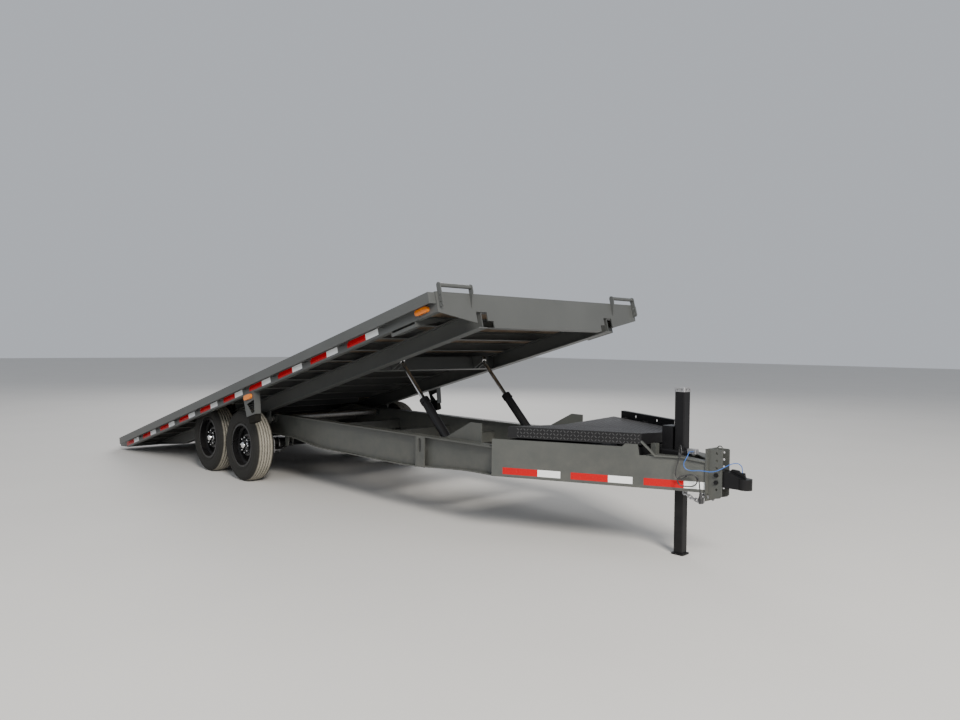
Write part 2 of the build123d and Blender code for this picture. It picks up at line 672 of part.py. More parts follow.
def jack_leg():
    top = JACK_TUBE_BOTTOM + 200
    leg = square_tube(JACK_X, JACK_INNER, JACK_WALL, (JACK_FOOT, top))
    half = JACK_FOOT_HALF
    foot = Pos(JACK_X, 0, 0) * extrude(RectangleRounded(2 * half, 2 * half, 10), JACK_FOOT)
    return leg + foot


# Coupler: adjustable channel on the nose, ball coupler bolted between its cheeks
def coupler_channel():
    half = CHANNEL_WIDTH / 2
    front = CHANNEL_REAR + CHANNEL_DEPTH
    piece = block((CHANNEL_REAR, CHANNEL_REAR + CHANNEL_WALL), (-half, half),
                  (CHANNEL_BOTTOM, CHANNEL_TOP))
    for side in SIDES.values():
        cheek = [(CHANNEL_REAR, CHANNEL_BOTTOM), (front - 14, CHANNEL_BOTTOM + CHANNEL_LIFT - 14),
                 (front, CHANNEL_BOTTOM + CHANNEL_LIFT), (front, CHANNEL_TOP - 6),
                 (front - 6, CHANNEL_TOP), (CHANNEL_REAR, CHANNEL_TOP)]
        piece += side_plate(cheek, sorted((side * (half - CHANNEL_WALL), side * half)))
    for k in range(-1, 5):
        z = BALL_Z + BOLT_RISE + HOLE_PITCH * k
        piece -= rod_y(front - HOLE_SET_BACK, z, HOLE_R, (-half - 1, half + 1))
    middle = (CHANNEL_REAR + CHANNEL_WALL + front) / 2
    ring = Pos(middle, 0, CHANNEL_TOP) * Rot(90, 0, 0) * Torus(RING_R, RING_BAR)
    bar = rod_y(middle, CHANNEL_TOP - RING_R, RING_BAR + 2, (CHANNEL_WALL - half, half - CHANNEL_WALL))
    return piece + ring + bar


def coupler():
    front = CHANNEL_REAR + CHANNEL_DEPTH
    low, high, head_top = BALL_Z - HEAD_LOW, BALL_Z + SHANK_TOP, BALL_Z + HEAD_TOP
    shank = block((CHANNEL_REAR + CHANNEL_WALL, front), (-COUPLER_HALF, COUPLER_HALF), (low, high))
    neck = [(front, low), (BALL_X, low), (BALL_X, head_top), (front + 40, high), (front, high)]
    piece = shank + side_plate(neck, (-COUPLER_HALF + 6, COUPLER_HALF - 6))
    piece += rod_z(BALL_X, 0, BALL_R + SOCKET_WALL, (low, head_top))
    latch = [(front + 34, high - 2), (front + 50, high + 16), (BALL_X - 46, high + 12), (BALL_X - 36, high),
             (BALL_X - 4, high), (BALL_X + 4, head_top), (BALL_X - 30, head_top)]
    piece += side_plate(latch, (-LATCH_HALF, LATCH_HALF))
    half = CHANNEL_WIDTH / 2
    for z in (BALL_Z + BOLT_RISE, BALL_Z + BOLT_RISE + HOLE_PITCH):
        piece += rod_y(front - HOLE_SET_BACK, z, HOLE_R - FIT, (-half - FIT, half + FIT))
        for y in (-half - FIT - BOLT_HEAD / 2, half + FIT + BOLT_HEAD / 2):
            piece += Pos(front - HOLE_SET_BACK, y, z) * Rot(90, 0, 0) * extrude(
                RegularPolygon(BOLT_HEAD_R, 6), BOLT_HEAD / 2, both=True)
    piece -= Pos(BALL_X, 0, BALL_Z) * Sphere(BALL_R)
    piece -= rod_z(BALL_X, 0, BALL_R, (low - 1, BALL_Z))
    return piece


# Cords: the trailer's lighting cord with its plug, and the breakaway cable
CORD_R = 4.5
CABLE_R = 3
CORD_ROUTE = (              # along the near tongue plate, inboard of its face, over TONGUE_LOW
    (1405, 32, 28), (1405, 32, 51), (1408, 24, 73), (1415, 6, 87),
    (1422, -16, 88), (1427, -33, 74), (1430, -38, 52), (1427.9, -38, 34.5),
    (1419.2, -38, 12.7), (1411.4, -38, -9.5), (1404.6, -38, -32), (1398.8, -38, -54.8),
    (1394, -38, -77.8), (1390.4, -38, -101.1), (1392.4, -38, -124.3), (1408.3, -38, -141.3),
    (1431.3, -38, -144.9), (1451.9, -38.1, -133.6), (1468, -40, -116.6), (1488.2, -40.7, -105.1),
    (1511.1, -41.4, -105.9), (1530.3, -42.1, -118.3), (1540.2, -42.8, -138.9), (1537.9, -43.5, -161.6),
    (1524.1, -44.2, -179.9), (1502.7, -44.9, -188.3), (1479.4, -47.1, -189), (1456, -49.5, -189.5),
    (1432.9, -51.6, -187.6), (1414.1, -53.2, -175.4), (1406.5, -54.8, -154.1), (1413.5, -56.4, -132.5),
    (1432.4, -57.9, -119.5), (1454.9, -58, -113), (1477.9, -58, -107.8), (1501, -57.7, -104.1),
    (1523.9, -55.9, -107), (1542.4, -54.1, -120.4), (1552.4, -52.3, -141.1), (1554.4, -49.7, -164.3),
    (1556.3, -46.8, -187.5), (1559.3, -44, -210.7), (1561.3, -43, -232.7),
)
CABLE_ROUTE = (             # x, y, over TONGUE_LOW
    (5255, -22, 36), (5255, -46, 36), (5261.4, -69, 39.6), (5271.3, -90.5, 44.5),
    (5281.7, -112, 48.3), (5291.6, -134, 48.2), (5297.2, -153.5, 35.2), (5296.4, -168.8, 16.4),
    (5289.9, -179.3, -4.3), (5280.6, -184.2, -26), (5281.8, -182.4, -50.1), (5295.4, -175.5, -68.7),
    (5316.5, -165.8, -75.7), (5338.5, -155.8, -75.1), (5360.4, -146.2, -72.3), (5382.6, -136.6, -71),
    (5404.4, -126.4, -72.2), (5425.9, -115.7, -74.7), (5448.1, -106.1, -74.6), (5469.8, -96.8, -69.8),
    (5490, -86.9, -60.9), (5508.2, -76, -49.4), (5525.1, -64.3, -36.8), (5542, -51.8, -24.9),
    (5559.1, -38.8, -13.8), (5578.1, -25.4, -7.3), (5598.4, -12.4, -7.8), (5615.1, -3.4, -22.8),
    (5621, 0, -46), (5621, 0, -70),
)
PLUG_LENGTH = 70
PLUG_R = 17
GLAND_R = 10
SWITCH = (5205, 5276, 22, 18, 52)         # rear, front, half width, bottom and top over TONGUE_LOW


def beside_tongue(along, inboard, rise):
    plate = Pos(TONGUE_REAR_X, -TONGUE_REAR_Y, TONGUE_LOW) * Rot(0, 0, TONGUE_ANGLE)
    return tuple((plate * Pos(along, inboard, rise)).position)


def tube_along(points, radius, name):
    """Round tube on straight runs joined by tangent arcs; prints its radii and volume."""
    ends = [Vector(*point) for point in points]
    runs = [two - one for one, two in zip(ends, ends[1:])]
    radii = []
    for one, two in zip(runs, runs[1:]):
        turn = radians(one.get_angle(two))
        radii.append(0.45 * min(one.length, two.length) / tan(turn / 2))
    path = FilletPolyline(*ends, radius=radii)
    section = Plane(origin=ends[0], z_dir=runs[0]) * Circle(radius)
    tube = sweep(section, path=path)
    print(name, "length", round(path.length), "radii", [round(r) for r in radii],
          "volume", round(tube.volume / (pi * radius ** 2 * path.length), 4))
    return tube


def trailer_cord():
    return tube_along([beside_tongue(*point) for point in CORD_ROUTE], CORD_R, "trailer cord")


def trailer_plug():
    """Seven-way plug: tapered boot, ribbed body and round face, hanging on the cord's end."""
    end = Vector(*beside_tongue(*CORD_ROUTE[-1]))
    before = Vector(*beside_tongue(*CORD_ROUTE[-2]))
    outline = [
        (0, 0), (8, 0), (9, 18), (14, 24), (14, 30), (PLUG_R, 34), (PLUG_R, PLUG_LENGTH), (0, PLUG_LENGTH),
    ]
    body = revolve(make_face(Polyline(*[(r, 0, z) for r, z in outline], close=True)), Axis.Z)
    body += Pos(PLUG_R, 0, PLUG_LENGTH - 16) * Box(5, 10, 32)
    return Plane(origin=end, z_dir=end - before).location * body


def cord_gland():
    x, y, z = beside_tongue(*CORD_ROUTE[0])
    low = TONGUE_LOW + TONGUE_FLANGE_THICK
    return Pos(x, y, low) * (extrude(RegularPolygon(GLAND_R, 6), 8) + Pos(0, 0, 8) * Cone(
        GLAND_R - 2, CORD_R + 2, z - low - 8, align=(Align.CENTER, Align.CENTER, Align.MIN)))


def breakaway_cable():
    return tube_along([(x, y, TONGUE_LOW + rise) for x, y, rise in CABLE_ROUTE], CABLE_R, "breakaway cable")


def breakaway_switch():
    rear, front, half, low, high = SWITCH
    outline = RectangleRounded(front - rear, 2 * half, 4)
    body = Pos((rear + front) / 2, 0, TONGUE_LOW + low) * extrude(outline, high - low)
    return fillet(body.faces().sort_by(Axis.Z)[-1].edges(), 3)


# Pivot shaft through the rails, carrying the deck's ears at its ends
EAR_BOSS = (760, 820)


def pivot_shaft():
    return rod_y(PIVOT_X, PIVOT_Z, PIVOT_R, (-EAR_BOSS[1] - 10, EAR_BOSS[1] + 10))


# Axles: tube, spindles and brake backing plates
SPINDLE_R = 24


def axle(x):
    z = TYRE_R
    backing = 850
    piece = rod_y(x, z, AXLE_R, (-backing, backing))
    for side in SIDES.values():
        piece += rod_y(x, z, BACKING_R, sorted((side * backing, side * (backing - 6))))
        piece += rod_y(x, z, SPINDLE_R, sorted((side * backing, side * (WHEEL_Y + 20))))
    return piece


# Leaf springs: under the axles, eyes up, centre on the axle's underside
def leaf_spring(x, side):
    seat = TYRE_R - AXLE_R
    pieces = None
    for k in range(LEAF_COUNT):
        reach = SPRING_HALF * (1 - 0.28 * k)
        rise = EYE_Z - seat + LEAF / 2
        end = seat - LEAF * k - LEAF + rise * (reach / SPRING_HALF) ** 2
        low = seat - LEAF * (k + 1)
        bottom = ThreePointArc((x - reach, 0, end), (x, 0, low), (x + reach, 0, end))
        top = ThreePointArc((x + reach, 0, end + LEAF), (x, 0, low + LEAF), (x - reach, 0, end + LEAF))
        ends = [Line((x + reach, 0, end), (x + reach, 0, end + LEAF)),
                Line((x - reach, 0, end + LEAF), (x - reach, 0, end))]
        leaf = extrude(make_face([bottom, ends[0], top, ends[1]]), amount=SPRING_WIDTH / 2,
                       dir=(0, 1, 0), both=True)
        pieces = leaf if pieces is None else pieces + leaf
    for end_x in (x - SPRING_HALF, x + SPRING_HALF):
        pieces += rod_y(end_x, EYE_Z, EYE_R, (-SPRING_WIDTH / 2, SPRING_WIDTH / 2))
    return Pos(0, side * RAIL_Y, 0) * pieces


def springs():
    return [leaf_spring(x, side) for x in AXLES.values() for side in SIDES.values()]


# U-bolts over each axle, through a tie plate under the springs
def u_bolts():
    pieces = []
    major = AXLE_R + U_BOLT_R + 0.3
    reach = SPRING_WIDTH / 2 + U_BOLT_R + U_BOLT_CLEAR
    seat = TYRE_R - AXLE_R - LEAF * LEAF_COUNT
    half = major + 2 * U_BOLT_R
    for x in AXLES.values():
        for side in SIDES.values():
            tie = block((x - half, x + half), (-reach - 2 * U_BOLT_R, reach + 2 * U_BOLT_R),
                        (seat - SPRING_PLATE, seat))
            for y in (-reach, reach):
                bend = Pos(x, y, TYRE_R) * Rot(90, 0, 0) * Torus(major, U_BOLT_R)
                tie += bend & block((x - half, x + half), (y - 10, y + 10), (TYRE_R, TYRE_R + half))
                for leg in (x - major, x + major):
                    tie += rod_z(leg, y, U_BOLT_R, (seat - SPRING_PLATE - 22, TYRE_R))
            pieces.append(Pos(0, side * RAIL_Y, 0) * tie)
    return pieces


# Spring hangers under the rails and rocking equalisers between the springs
def hangers():
    pieces = []
    half = SPRING_WIDTH / 2
    outer_x = AXLE_SPACING / 2 + SPRING_HALF
    inner_x = AXLE_SPACING / 2 - SPRING_HALF
    for side in SIDES.values():
        for face in (-half - HANGER_PLATE, half):
            y = sorted((side * RAIL_Y + face, side * RAIL_Y + face + HANGER_PLATE))
            for x in (-outer_x, outer_x):
                ear = [(x - 45, RAIL_AXLE_BOTTOM), (x - 24, EYE_Z - 26), (x + 24, EYE_Z - 26),
                       (x + 45, RAIL_AXLE_BOTTOM)]
                pieces.append(side_plate(ear, y))
            rocker = [(-inner_x - 24, EYE_Z - 22), (inner_x + 24, EYE_Z - 22),
                      (inner_x + 24, EYE_Z + 18), (40, RAIL_AXLE_BOTTOM),
                      (-40, RAIL_AXLE_BOTTOM), (-inner_x - 24, EYE_Z + 18)]
            pieces.append(side_plate(rocker, y))
    return pieces


# Wheels: radial tyre on a drop-centre steel rim with an eight-stud disc
def wheel_place(x, side):
    return Pos(x, side * WHEEL_Y, TYRE_R) * Rot(-90 * side, 0, 0)


def tyre():
    """Casing with flats, so that it rests as a loaded tyre does; tread face, shoulders, bulged walls."""
    w = TYRE_WIDTH / 2
    wall = [(RIM_LIP_R + 0.5, RIM_HALF - FIT), (RIM_LIP_R + 65, w), (TYRE_R - 30, w - 7), (TYRE_R, w - 32)]
    rings = [(r, -z) for r, z in wall] + [(r, z) for r, z in reversed(wall)]
    grow = 1 / cos(pi / TYRE_SIDES)
    turn = 180 / TYRE_SIDES
    sections = [Pos(0, 0, z) * Rot(0, 0, turn) * RegularPolygon(r * grow, TYRE_SIDES) for r, z in rings]
    casing = loft(sections, ruled=True)
    bore = Circle(RIM_SEAT_R)
    return casing - extrude(bore, TYRE_WIDTH, both=True)


STUD_CIRCLE = 82.55
HUB_CAP_R = 36
NUT_R = 12
NUT_LENGTH = 30
DISC_RISE = 26              # middle of the dished disc, out from the wheel's mid plane


def rim():
    half = RIM_HALF
    barrel = [
        (RIM_SEAT_R, half), (RIM_LIP_R, half), (RIM_LIP_R, half + LIP_THICK),
        (RIM_SEAT_R - 8, half + LIP_THICK), (RIM_SEAT_R - 8, 30), (RIM_WELL_R - 8, 20),
        (RIM_WELL_R - 8, -30), (RIM_SEAT_R - 8, -50), (RIM_SEAT_R - 8, -half - LIP_THICK),
        (RIM_LIP_R, -half - LIP_THICK), (RIM_LIP_R, -half), (RIM_SEAT_R, -half),
        (RIM_SEAT_R, -46), (RIM_WELL_R, -30), (RIM_WELL_R, 20), (RIM_SEAT_R, 32),
    ]
    body = revolve(make_face(Polyline(*[(r, 0, z) for r, z in barrel], close=True)), Axis.Z)
    disc = [
        (SPINDLE_R + RUN_CLEAR, -122), (62, -122), (62, -52), (DRUM_R - 12, -52), (DRUM_R - 12, -122),
        (DRUM_R, -122), (DRUM_R, -40), (150, -12),
        (RIM_WELL_R - 6, -22), (RIM_WELL_R - 6, -10), (150, 2), (118, DISC_RISE), (60, DISC_RISE),
        (58, 40), (HUB_CAP_R, 44), (HUB_CAP_R, 70), (28, 80), (0, 80), (0, 25),
        (SPINDLE_R + RUN_CLEAR, 25),
    ]
    body += revolve(make_face(Polyline(*[(r, 0, z) for r, z in disc], close=True)), Axis.Z)
    nut = extrude(RegularPolygon(NUT_R, 6), NUT_LENGTH)
    for k in range(8):
        body += Rot(0, 0, 45 * k) * Pos(STUD_CIRCLE, 0, DISC_RISE - 1) * nut
    return body


# Deck main beams: I-beams, lifted at the tail, nose cut back under the header
def deck_beam():
    low, high = BEAM_BOTTOM, BEAM_TOP
    rear = DECK_REAR
    outline = [(rear, low + BEAM_TAPER_RISE), (BEAM_TAPER_START, low), (DECK_FRONT, low),
               (DECK_FRONT, high), (rear, high)]
    face = make_face(Polyline(*[(s, 0, t) for s, t in outline], close=True))
    beam = i_beam(face, -BEAM_Y, BEAM_WEB, BEAM_FLANGE, BEAM_FLANGE_THICK)
    ear = [(-95, low), (-38, -30), (38, -30), (95, low)]
    beam += side_plate(ear, (-BEAM_Y - 10, -BEAM_Y + 10))
    beam += rod_y(0, 0, PIVOT_R + 24, (-EAR_BOSS[1], -EAR_BOSS[0]))
    beam -= rod_y(0, 0, PIVOT_R + RUN_CLEAR, (-EAR_BOSS[1] - 20, -EAR_BOSS[0] + 20))
    return beam


# Wheel well over the rear tyres, which rise through the floor as the deck tilts
WELL_CLEAR = 40
WELL_WALL = 6


def well_centre():
    dx, dz = AXLES["rear"] - PIVOT_X, TYRE_R - PIVOT_Z
    return dx * COS_T + dz * SIN_T, -dx * SIN_T + dz * COS_T


WELL_S, WELL_T = well_centre()
WELL_R = TYRE_R + WELL_CLEAR
WELL_INNER = WHEEL_Y - TYRE_WIDTH / 2 - 22
WELL_OUTER = WHEEL_Y + TYRE_WIDTH / 2 + 22


def well_reach(level, radius=WELL_R):
    return sqrt(radius ** 2 - (level - WELL_T) ** 2)


# Deck cross-members: C-channels on the beams, open over the wheel wells
def channel_at(s, y):
    """Cross channel with its web to the rear."""
    web = block((s, s + CROSS_WALL), y, (BEAM_TOP, CROSS_TOP))
    for z in ((BEAM_TOP, BEAM_TOP + CROSS_WALL), (CROSS_TOP - CROSS_WALL, CROSS_TOP)):
        web += block((s, s + CROSS_WIDTH), y, z)
    return web


def cross_stations():
    first = DECK_REAR + 60
    count = int((DECK_FRONT - 80 - first) / CROSS_PITCH) + 1
    return [first + k * CROSS_PITCH for k in range(count)]


def deck_cross_members():
    pieces = []
    reach = SIDE_Y - SIDE_WALL
    well = well_reach(BEAM_TOP) + CROSS_WIDTH
    for s in cross_stations():
        if abs(s - WELL_S) < well:
            pieces.append(channel_at(s, (-WELL_INNER, WELL_INNER)))
        else:
            pieces.append(channel_at(s, (-reach, reach)))
    beam_reach = BEAM_Y - BEAM_WEB / 2
    low = BEAM_BOTTOM + BEAM_FLANGE_THICK
    back = CYL_UPPER_S - CYL_BEAM_BACK
    cyl_beam = block((back - 8, back), (-beam_reach, beam_reach), (low, BEAM_TOP - BEAM_FLANGE_THICK))
    for z in ((low, low + 6), (BEAM_TOP - BEAM_FLANGE_THICK - 6, BEAM_TOP - BEAM_FLANGE_THICK)):
        cyl_beam += block((back - 60, back), (-beam_reach, beam_reach), z)
    ear_outer = CYL_EYE_WIDTH / 2 + CYL_EAR_GAP
    for side in SIDES.values():
        for face in (-ear_outer - CYL_EAR, ear_outer):
            y = (side * CYL_Y + face, side * CYL_Y + face + CYL_EAR)
            ear = [(back, low), (CYL_UPPER_S + 12, CYL_UPPER_T - 32), (CYL_UPPER_S + 32, CYL_UPPER_T - 10),
                   (CYL_UPPER_S + 32, CYL_UPPER_T + 20), (CYL_UPPER_S + 10, CYL_UPPER_T + 36),
                   (back, BEAM_TOP - 12)]
            cyl_beam += side_plate(ear, y)
            stub = (y[0] - 6, y[1]) if face < 0 else (y[0], y[1] + 6)
            cyl_beam += rod_y(CYL_UPPER_S, CYL_UPPER_T, CYL_PIN_R, stub)
    pieces.append(cyl_beam)
    return pieces


# Side channels, stake pockets and rub rails
def side_channel():
    top, low = SIDE_TOP, SIDE_BOTTOM
    outline = [
        (TAIL_END, TAIL_TIP_T), (TAIL_KNEE_S, TAIL_KNEE_T), (DECK_REAR, low), (DECK_FRONT, low),
        (DECK_FRONT, top), (TAIL_END, top),
    ]
    web = side_plate(outline, (-SIDE_Y, -SIDE_Y + SIDE_WALL))
    web += block((TAIL_END, DECK_FRONT), (-SIDE_Y, -SIDE_Y + SIDE_LIP), (FLOOR_TOP, top))
    web += block((DECK_REAR, DECK_FRONT), (-SIDE_Y, -SIDE_Y + SIDE_FOOT), (low, low + SIDE_WALL))
    return web


def pocket_stations():
    return [POCKET_FIRST + k * POCKET_PITCH for k in range(POCKET_COUNT)]


def stake_pockets():
    pieces = []
    outer = SIDE_Y + POCKET_DEPTH
    for s in pocket_stations():
        half = POCKET_WIDTH / 2
        pocket = block((s - half, s + half), (-outer, -SIDE_Y), (RUB_TOP - RUB_HEIGHT - 6, RUB_TOP + 3))
        pocket -= block((s - half + POCKET_WALL, s + half - POCKET_WALL),
                        (-outer + POCKET_WALL, -SIDE_Y + 1), (RUB_TOP - RUB_HEIGHT - 7, RUB_TOP + 4))
        pieces.append(pocket)
    return pieces


def rub_rail():
    outer = SIDE_Y + POCKET_DEPTH
    bar = block((RUB_REAR, DECK_FRONT - 10), (-outer - RUB_BAR, -outer), (RUB_TOP - RUB_HEIGHT, RUB_TOP))
    cap = block((DECK_FRONT - 10, DECK_FRONT), (-outer - RUB_BAR, -SIDE_Y),
                (RUB_TOP - RUB_HEIGHT, RUB_TOP))
    return bar + cap


# Floor planks, ripped and cut to length round the wheel wells
SAW_CUT = 1


def floor_planks():
    inner = SIDE_Y - SIDE_WALL
    width = (2 * inner - PLANK_GAP * (PLANK_COUNT - 1)) / PLANK_COUNT
    hole = well_reach(FLOOR_TOP, WELL_R + WELL_WALL) + 4
    rear, front = DECK_REAR + 2, DECK_FRONT - 2
    well = (WELL_INNER - PLANK_GAP / 2, WELL_OUTER)
    z = (CROSS_TOP, FLOOR_TOP)
    pieces = []
    for k in range(PLANK_COUNT):
        y = -inner + k * (width + PLANK_GAP)
        near, far = sorted((abs(y), abs(y + width))) if y * (y + width) > 0 else (0, width / 2)
        side = -1 if y < 0 else 1
        if far <= well[0] or near >= well[1]:
            pieces.append(block((rear, front), (y, y + width), z))
            continue
        for reach in ((rear, WELL_S - hole), (WELL_S + hole, front)):
            strip = (max(near, well[0]), min(far, well[1]))
            pieces.append(block(reach, sorted((side * strip[0], side * strip[1])), z))
        for strip in ((near, well[0] - SAW_CUT), (well[1] + SAW_CUT, far)):
            if strip[1] > strip[0] + SAW_CUT:
                pieces.append(block((rear, front), sorted((side * strip[0], side * strip[1])), z))
    return pieces


def wheel_cover():
    """Curved tread plate over a rear tyre, with side walls down past the floor."""
    r = WELL_R + WELL_WALL
    low = BEAM_TOP
    band = Pos(WELL_S, -WHEEL_Y, WELL_T) * Rot(90, 0, 0) * (
        Cylinder(r, WELL_OUTER - WELL_INNER) - Cylinder(WELL_R, WELL_OUTER - WELL_INNER + 2))
    reach = well_reach(FLOOR_TOP, r) + 3
    cover = band & block((WELL_S - reach, WELL_S + reach), (-WELL_OUTER, -WELL_INNER), (CROSS_TOP, 500))
    drum = Pos(WELL_S, -WHEEL_Y, WELL_T) * Rot(90, 0, 0) * Cylinder(r, WELL_OUTER - WELL_INNER)
    for y in ((-WELL_OUTER, -WELL_OUTER + WELL_WALL), (-WELL_INNER - WELL_WALL, -WELL_INNER)):
        cover += drum & block((WELL_S - reach, WELL_S + reach), y, (low, 500))
    return cover


# Header plate across the deck's front, notched at the main beams
def header():
    top, half = HEADER_TOP_T, SIDE_Y
    right = [
        (-half, WING_OUTER_LOW), (-NOTCH_OUTER, WING_INNER_LOW), (-NOTCH_OUTER, NOTCH_TOP),
        (-NOTCH_INNER, NOTCH_TOP), (-NOTCH_INNER, HEADER_STEP_T), (-HEADER_STEP_Y, HEADER_STEP_T),
        (-HEADER_STEP_Y, HEADER_LOW),
    ]
    outline = right + [(-y, z) for y, z in reversed(right)] + [(half, top), (-half, top)]
    plate = cross_plate(outline, (DECK_FRONT, HEADER_FRONT))
    plate += block((DECK_FRONT - HEADER_LIP, DECK_FRONT), (-half, half), (SIDE_TOP, top))
    reach = HEADER_STEP_Y
    plate += block((DECK_FRONT - HEADER_LIP, DECK_FRONT), (-reach, reach), (HEADER_LOW, HEADER_LOW + 6))
    return plate


# Tie hoops: pipe on two upright plates welded to the header's front
def tie_hoop():
    x0 = HEADER_FRONT
    middle = x0 + HOOP_LEG / 2
    top = HEADER_TOP_T + HOOP_RISE - HOOP_R
    piece = rod_y(middle, top, HOOP_R, (-HOOP_OUTER - 5, -HOOP_INNER + 5))
    for y, low in ((-HOOP_OUTER, HOOP_LEG_LOW), (-HOOP_INNER, top - HOOP_LEG)):
        outline = [(x0, HOOP_LEG_LOW), (x0, top), (x0 + HOOP_LEG, top), (x0 + HOOP_LEG, low)]
        leg = side_plate(outline, (y - 5, y + 5))
        leg += rod_y(middle, top, HOOP_LEG / 2, (y - 5, y + 5))
        piece += leg
    for t in (HOOP_LEG_LOW + 30, HOOP_LEG_LOW + 80):
        piece -= rod_y(middle, t, 9, (-HOOP_OUTER - 6, -HOOP_OUTER + 6))
    return piece


# Tail: tapered closing section behind the floor
TAIL_WALL = 6


def tail_section():
    reach = SIDE_Y - SIDE_WALL
    outer = [(DECK_REAR, SIDE_BOTTOM), (DECK_REAR, FLOOR_TOP), (TAIL_END, FLOOR_TOP),
             (TAIL_END, TAIL_TIP_T), (TAIL_KNEE_S, TAIL_KNEE_T)]
    wall = TAIL_WALL
    inner = [(DECK_REAR - wall, SIDE_BOTTOM + wall * 1.5), (DECK_REAR - wall, FLOOR_TOP - wall),
             (TAIL_END + wall * 3, FLOOR_TOP - wall), (TAIL_KNEE_S + wall * 0.5, TAIL_KNEE_T + wall * 1.2)]
    shell = side_plate(outer, (-reach, reach))
    for y in ((-reach + wall, -wall), (wall, reach - wall)):
        shell -= side_plate(inner, y)
    return shell


# Side steps under the deck's front corners
STEP_REAR = 2972
STEP_FRONT = 3282
STEP_DROP = 45
STEP_PLATE = 5
STEP_APEX = 870
STEP_TRAY = 110
STEP_LIP = 26


def side_step():
    """Tray hung from the side channel between two long triangular gussets."""
    low, thick = SIDE_BOTTOM - STEP_DROP, STEP_PLATE
    side, foot = -SIDE_Y, -SIDE_Y + SIDE_FOOT
    gusset = [(side, SIDE_BOTTOM), (side, low), (-STEP_APEX, BEAM_TOP), (foot, BEAM_TOP), (foot, SIDE_BOTTOM)]
    step = cross_plate(gusset, (STEP_REAR, STEP_REAR + thick))
    step += cross_plate(gusset, (STEP_FRONT - thick, STEP_FRONT))
    rise = (BEAM_TOP - low) / (SIDE_Y - STEP_APEX) * STEP_TRAY
    tray = [(side, low), (side + STEP_TRAY, low + rise), (side + STEP_TRAY, low + rise + thick),
            (side + thick, low + thick + 1), (side + thick, low + STEP_LIP), (side, low + STEP_LIP)]
    return step + cross_plate(tray, (STEP_REAR, STEP_FRONT))


# Side marker brackets ahead of the front tyres, each with a rubber block
BRACKET_S = 490
BRACKET_LENGTH = 245
BRACKET_TAPER = 30
BRACKET_DROP = 220
BRACKET_PLATE = 5
BRACKET_FLANGE = 65
RUBBER_HEIGHT = 118
RUBBER_DEPTH = 62
RUBBER_LAP = 40


def marker_bracket():
    low = SIDE_BOTTOM - BRACKET_DROP
    y0, y1 = -SIDE_Y, -SIDE_Y + BRACKET_PLATE
    rear, front = BRACKET_S - BRACKET_LENGTH / 2, BRACKET_S + BRACKET_LENGTH / 2
    outline = [(rear, SIDE_BOTTOM), (rear + BRACKET_TAPER, low), (front - BRACKET_TAPER, low),
               (front, SIDE_BOTTOM)]
    plate = side_plate(outline, (y0, y1))
    window = [(rear + 66, low + 128), (front - 18, low + 146), (front - BRACKET_TAPER - 8, low + 18),
              (rear + 146, low + 18)]
    plate -= side_plate(window, (y0 - 1, y1 + 1))
    flange = [(front, SIDE_BOTTOM), (front - BRACKET_TAPER, low), (front - BRACKET_TAPER - 5, low),
              (front - 5, SIDE_BOTTOM)]
    return plate + side_plate(flange, (y0, y0 + BRACKET_FLANGE))


def rubber_block():
    top = SIDE_BOTTOM - BRACKET_DROP + RUBBER_LAP
    y0 = -SIDE_Y + BRACKET_PLATE
    rear, front = BRACKET_S - BRACKET_LENGTH / 2 + 59, BRACKET_S + BRACKET_LENGTH / 2 - BRACKET_TAPER - 14
    body = block((rear, front), (y0, y0 + RUBBER_DEPTH), (top - RUBBER_HEIGHT, top))
    return chamfer(body.faces().sort_by(Axis.Z)[0].edges(), 8)


# Lamps
AMBER_S = 3396


def lens(length, height, depth):
    return extrude(SlotOverall(length, height), amount=depth)


def amber_lamps():
    pieces = []
    for side in SIDES.values():
        turn = Rot(90 * side * -1, 0, 0)
        pieces.append(Pos(AMBER_S, side * SIDE_Y, SIDE_BOTTOM + 45) * turn * lens(150, 44, 26))
        pieces.append(Pos(BRACKET_S, side * SIDE_Y, SIDE_BOTTOM - 30) * turn * lens(150, 50, 22))
    return pieces


def red_lamps():
    lean = degrees(atan2(TAIL_KNEE_S - TAIL_END, TAIL_TIP_T - TAIL_KNEE_T))
    pieces = []
    outer, inner = SIDE_Y - 150, SIDE_Y - 300
    places = ((-outer, 120), (-inner, 120), (-150, 60), (0, 60), (150, 60), (inner, 120), (outer, 120))
    for y, length in places:
        lamp = Rot(0, -90, 0) * Rot(0, 0, 90) * lens(length, 40, 12)
        middle = (TAIL_END + TAIL_KNEE_S) / 2, (TAIL_KNEE_T + TAIL_TIP_T) / 2
        pieces.append(Pos(middle[0], y, middle[1]) * Rot(0, -lean, 0) * lamp)
    return pieces


# Hydraulic cylinders
def cylinder_geometry():
    top_x, top_z = on_deck(CYL_UPPER_S, CYL_UPPER_T)
    dx, dz = top_x - CYL_LOWER_X, top_z - CYL_LOWER_Z
    flat_x, flat_z = PIVOT_X + CYL_UPPER_S, PIVOT_Z + CYL_UPPER_T
    fx, fz = flat_x - CYL_LOWER_X, flat_z - CYL_LOWER_Z
    return hypot(dx, dz), atan2(dz, dx), hypot(fx, fz), atan2(fz, fx)


CYL_OUT, CYL_ANGLE, CYL_IN, CYL_FLAT_ANGLE = cylinder_geometry()


def cylinder_place(side):
    return Pos(CYL_LOWER_X, side * CYL_Y, CYL_LOWER_Z) * Rot(0, -degrees(CYL_ANGLE), 0)


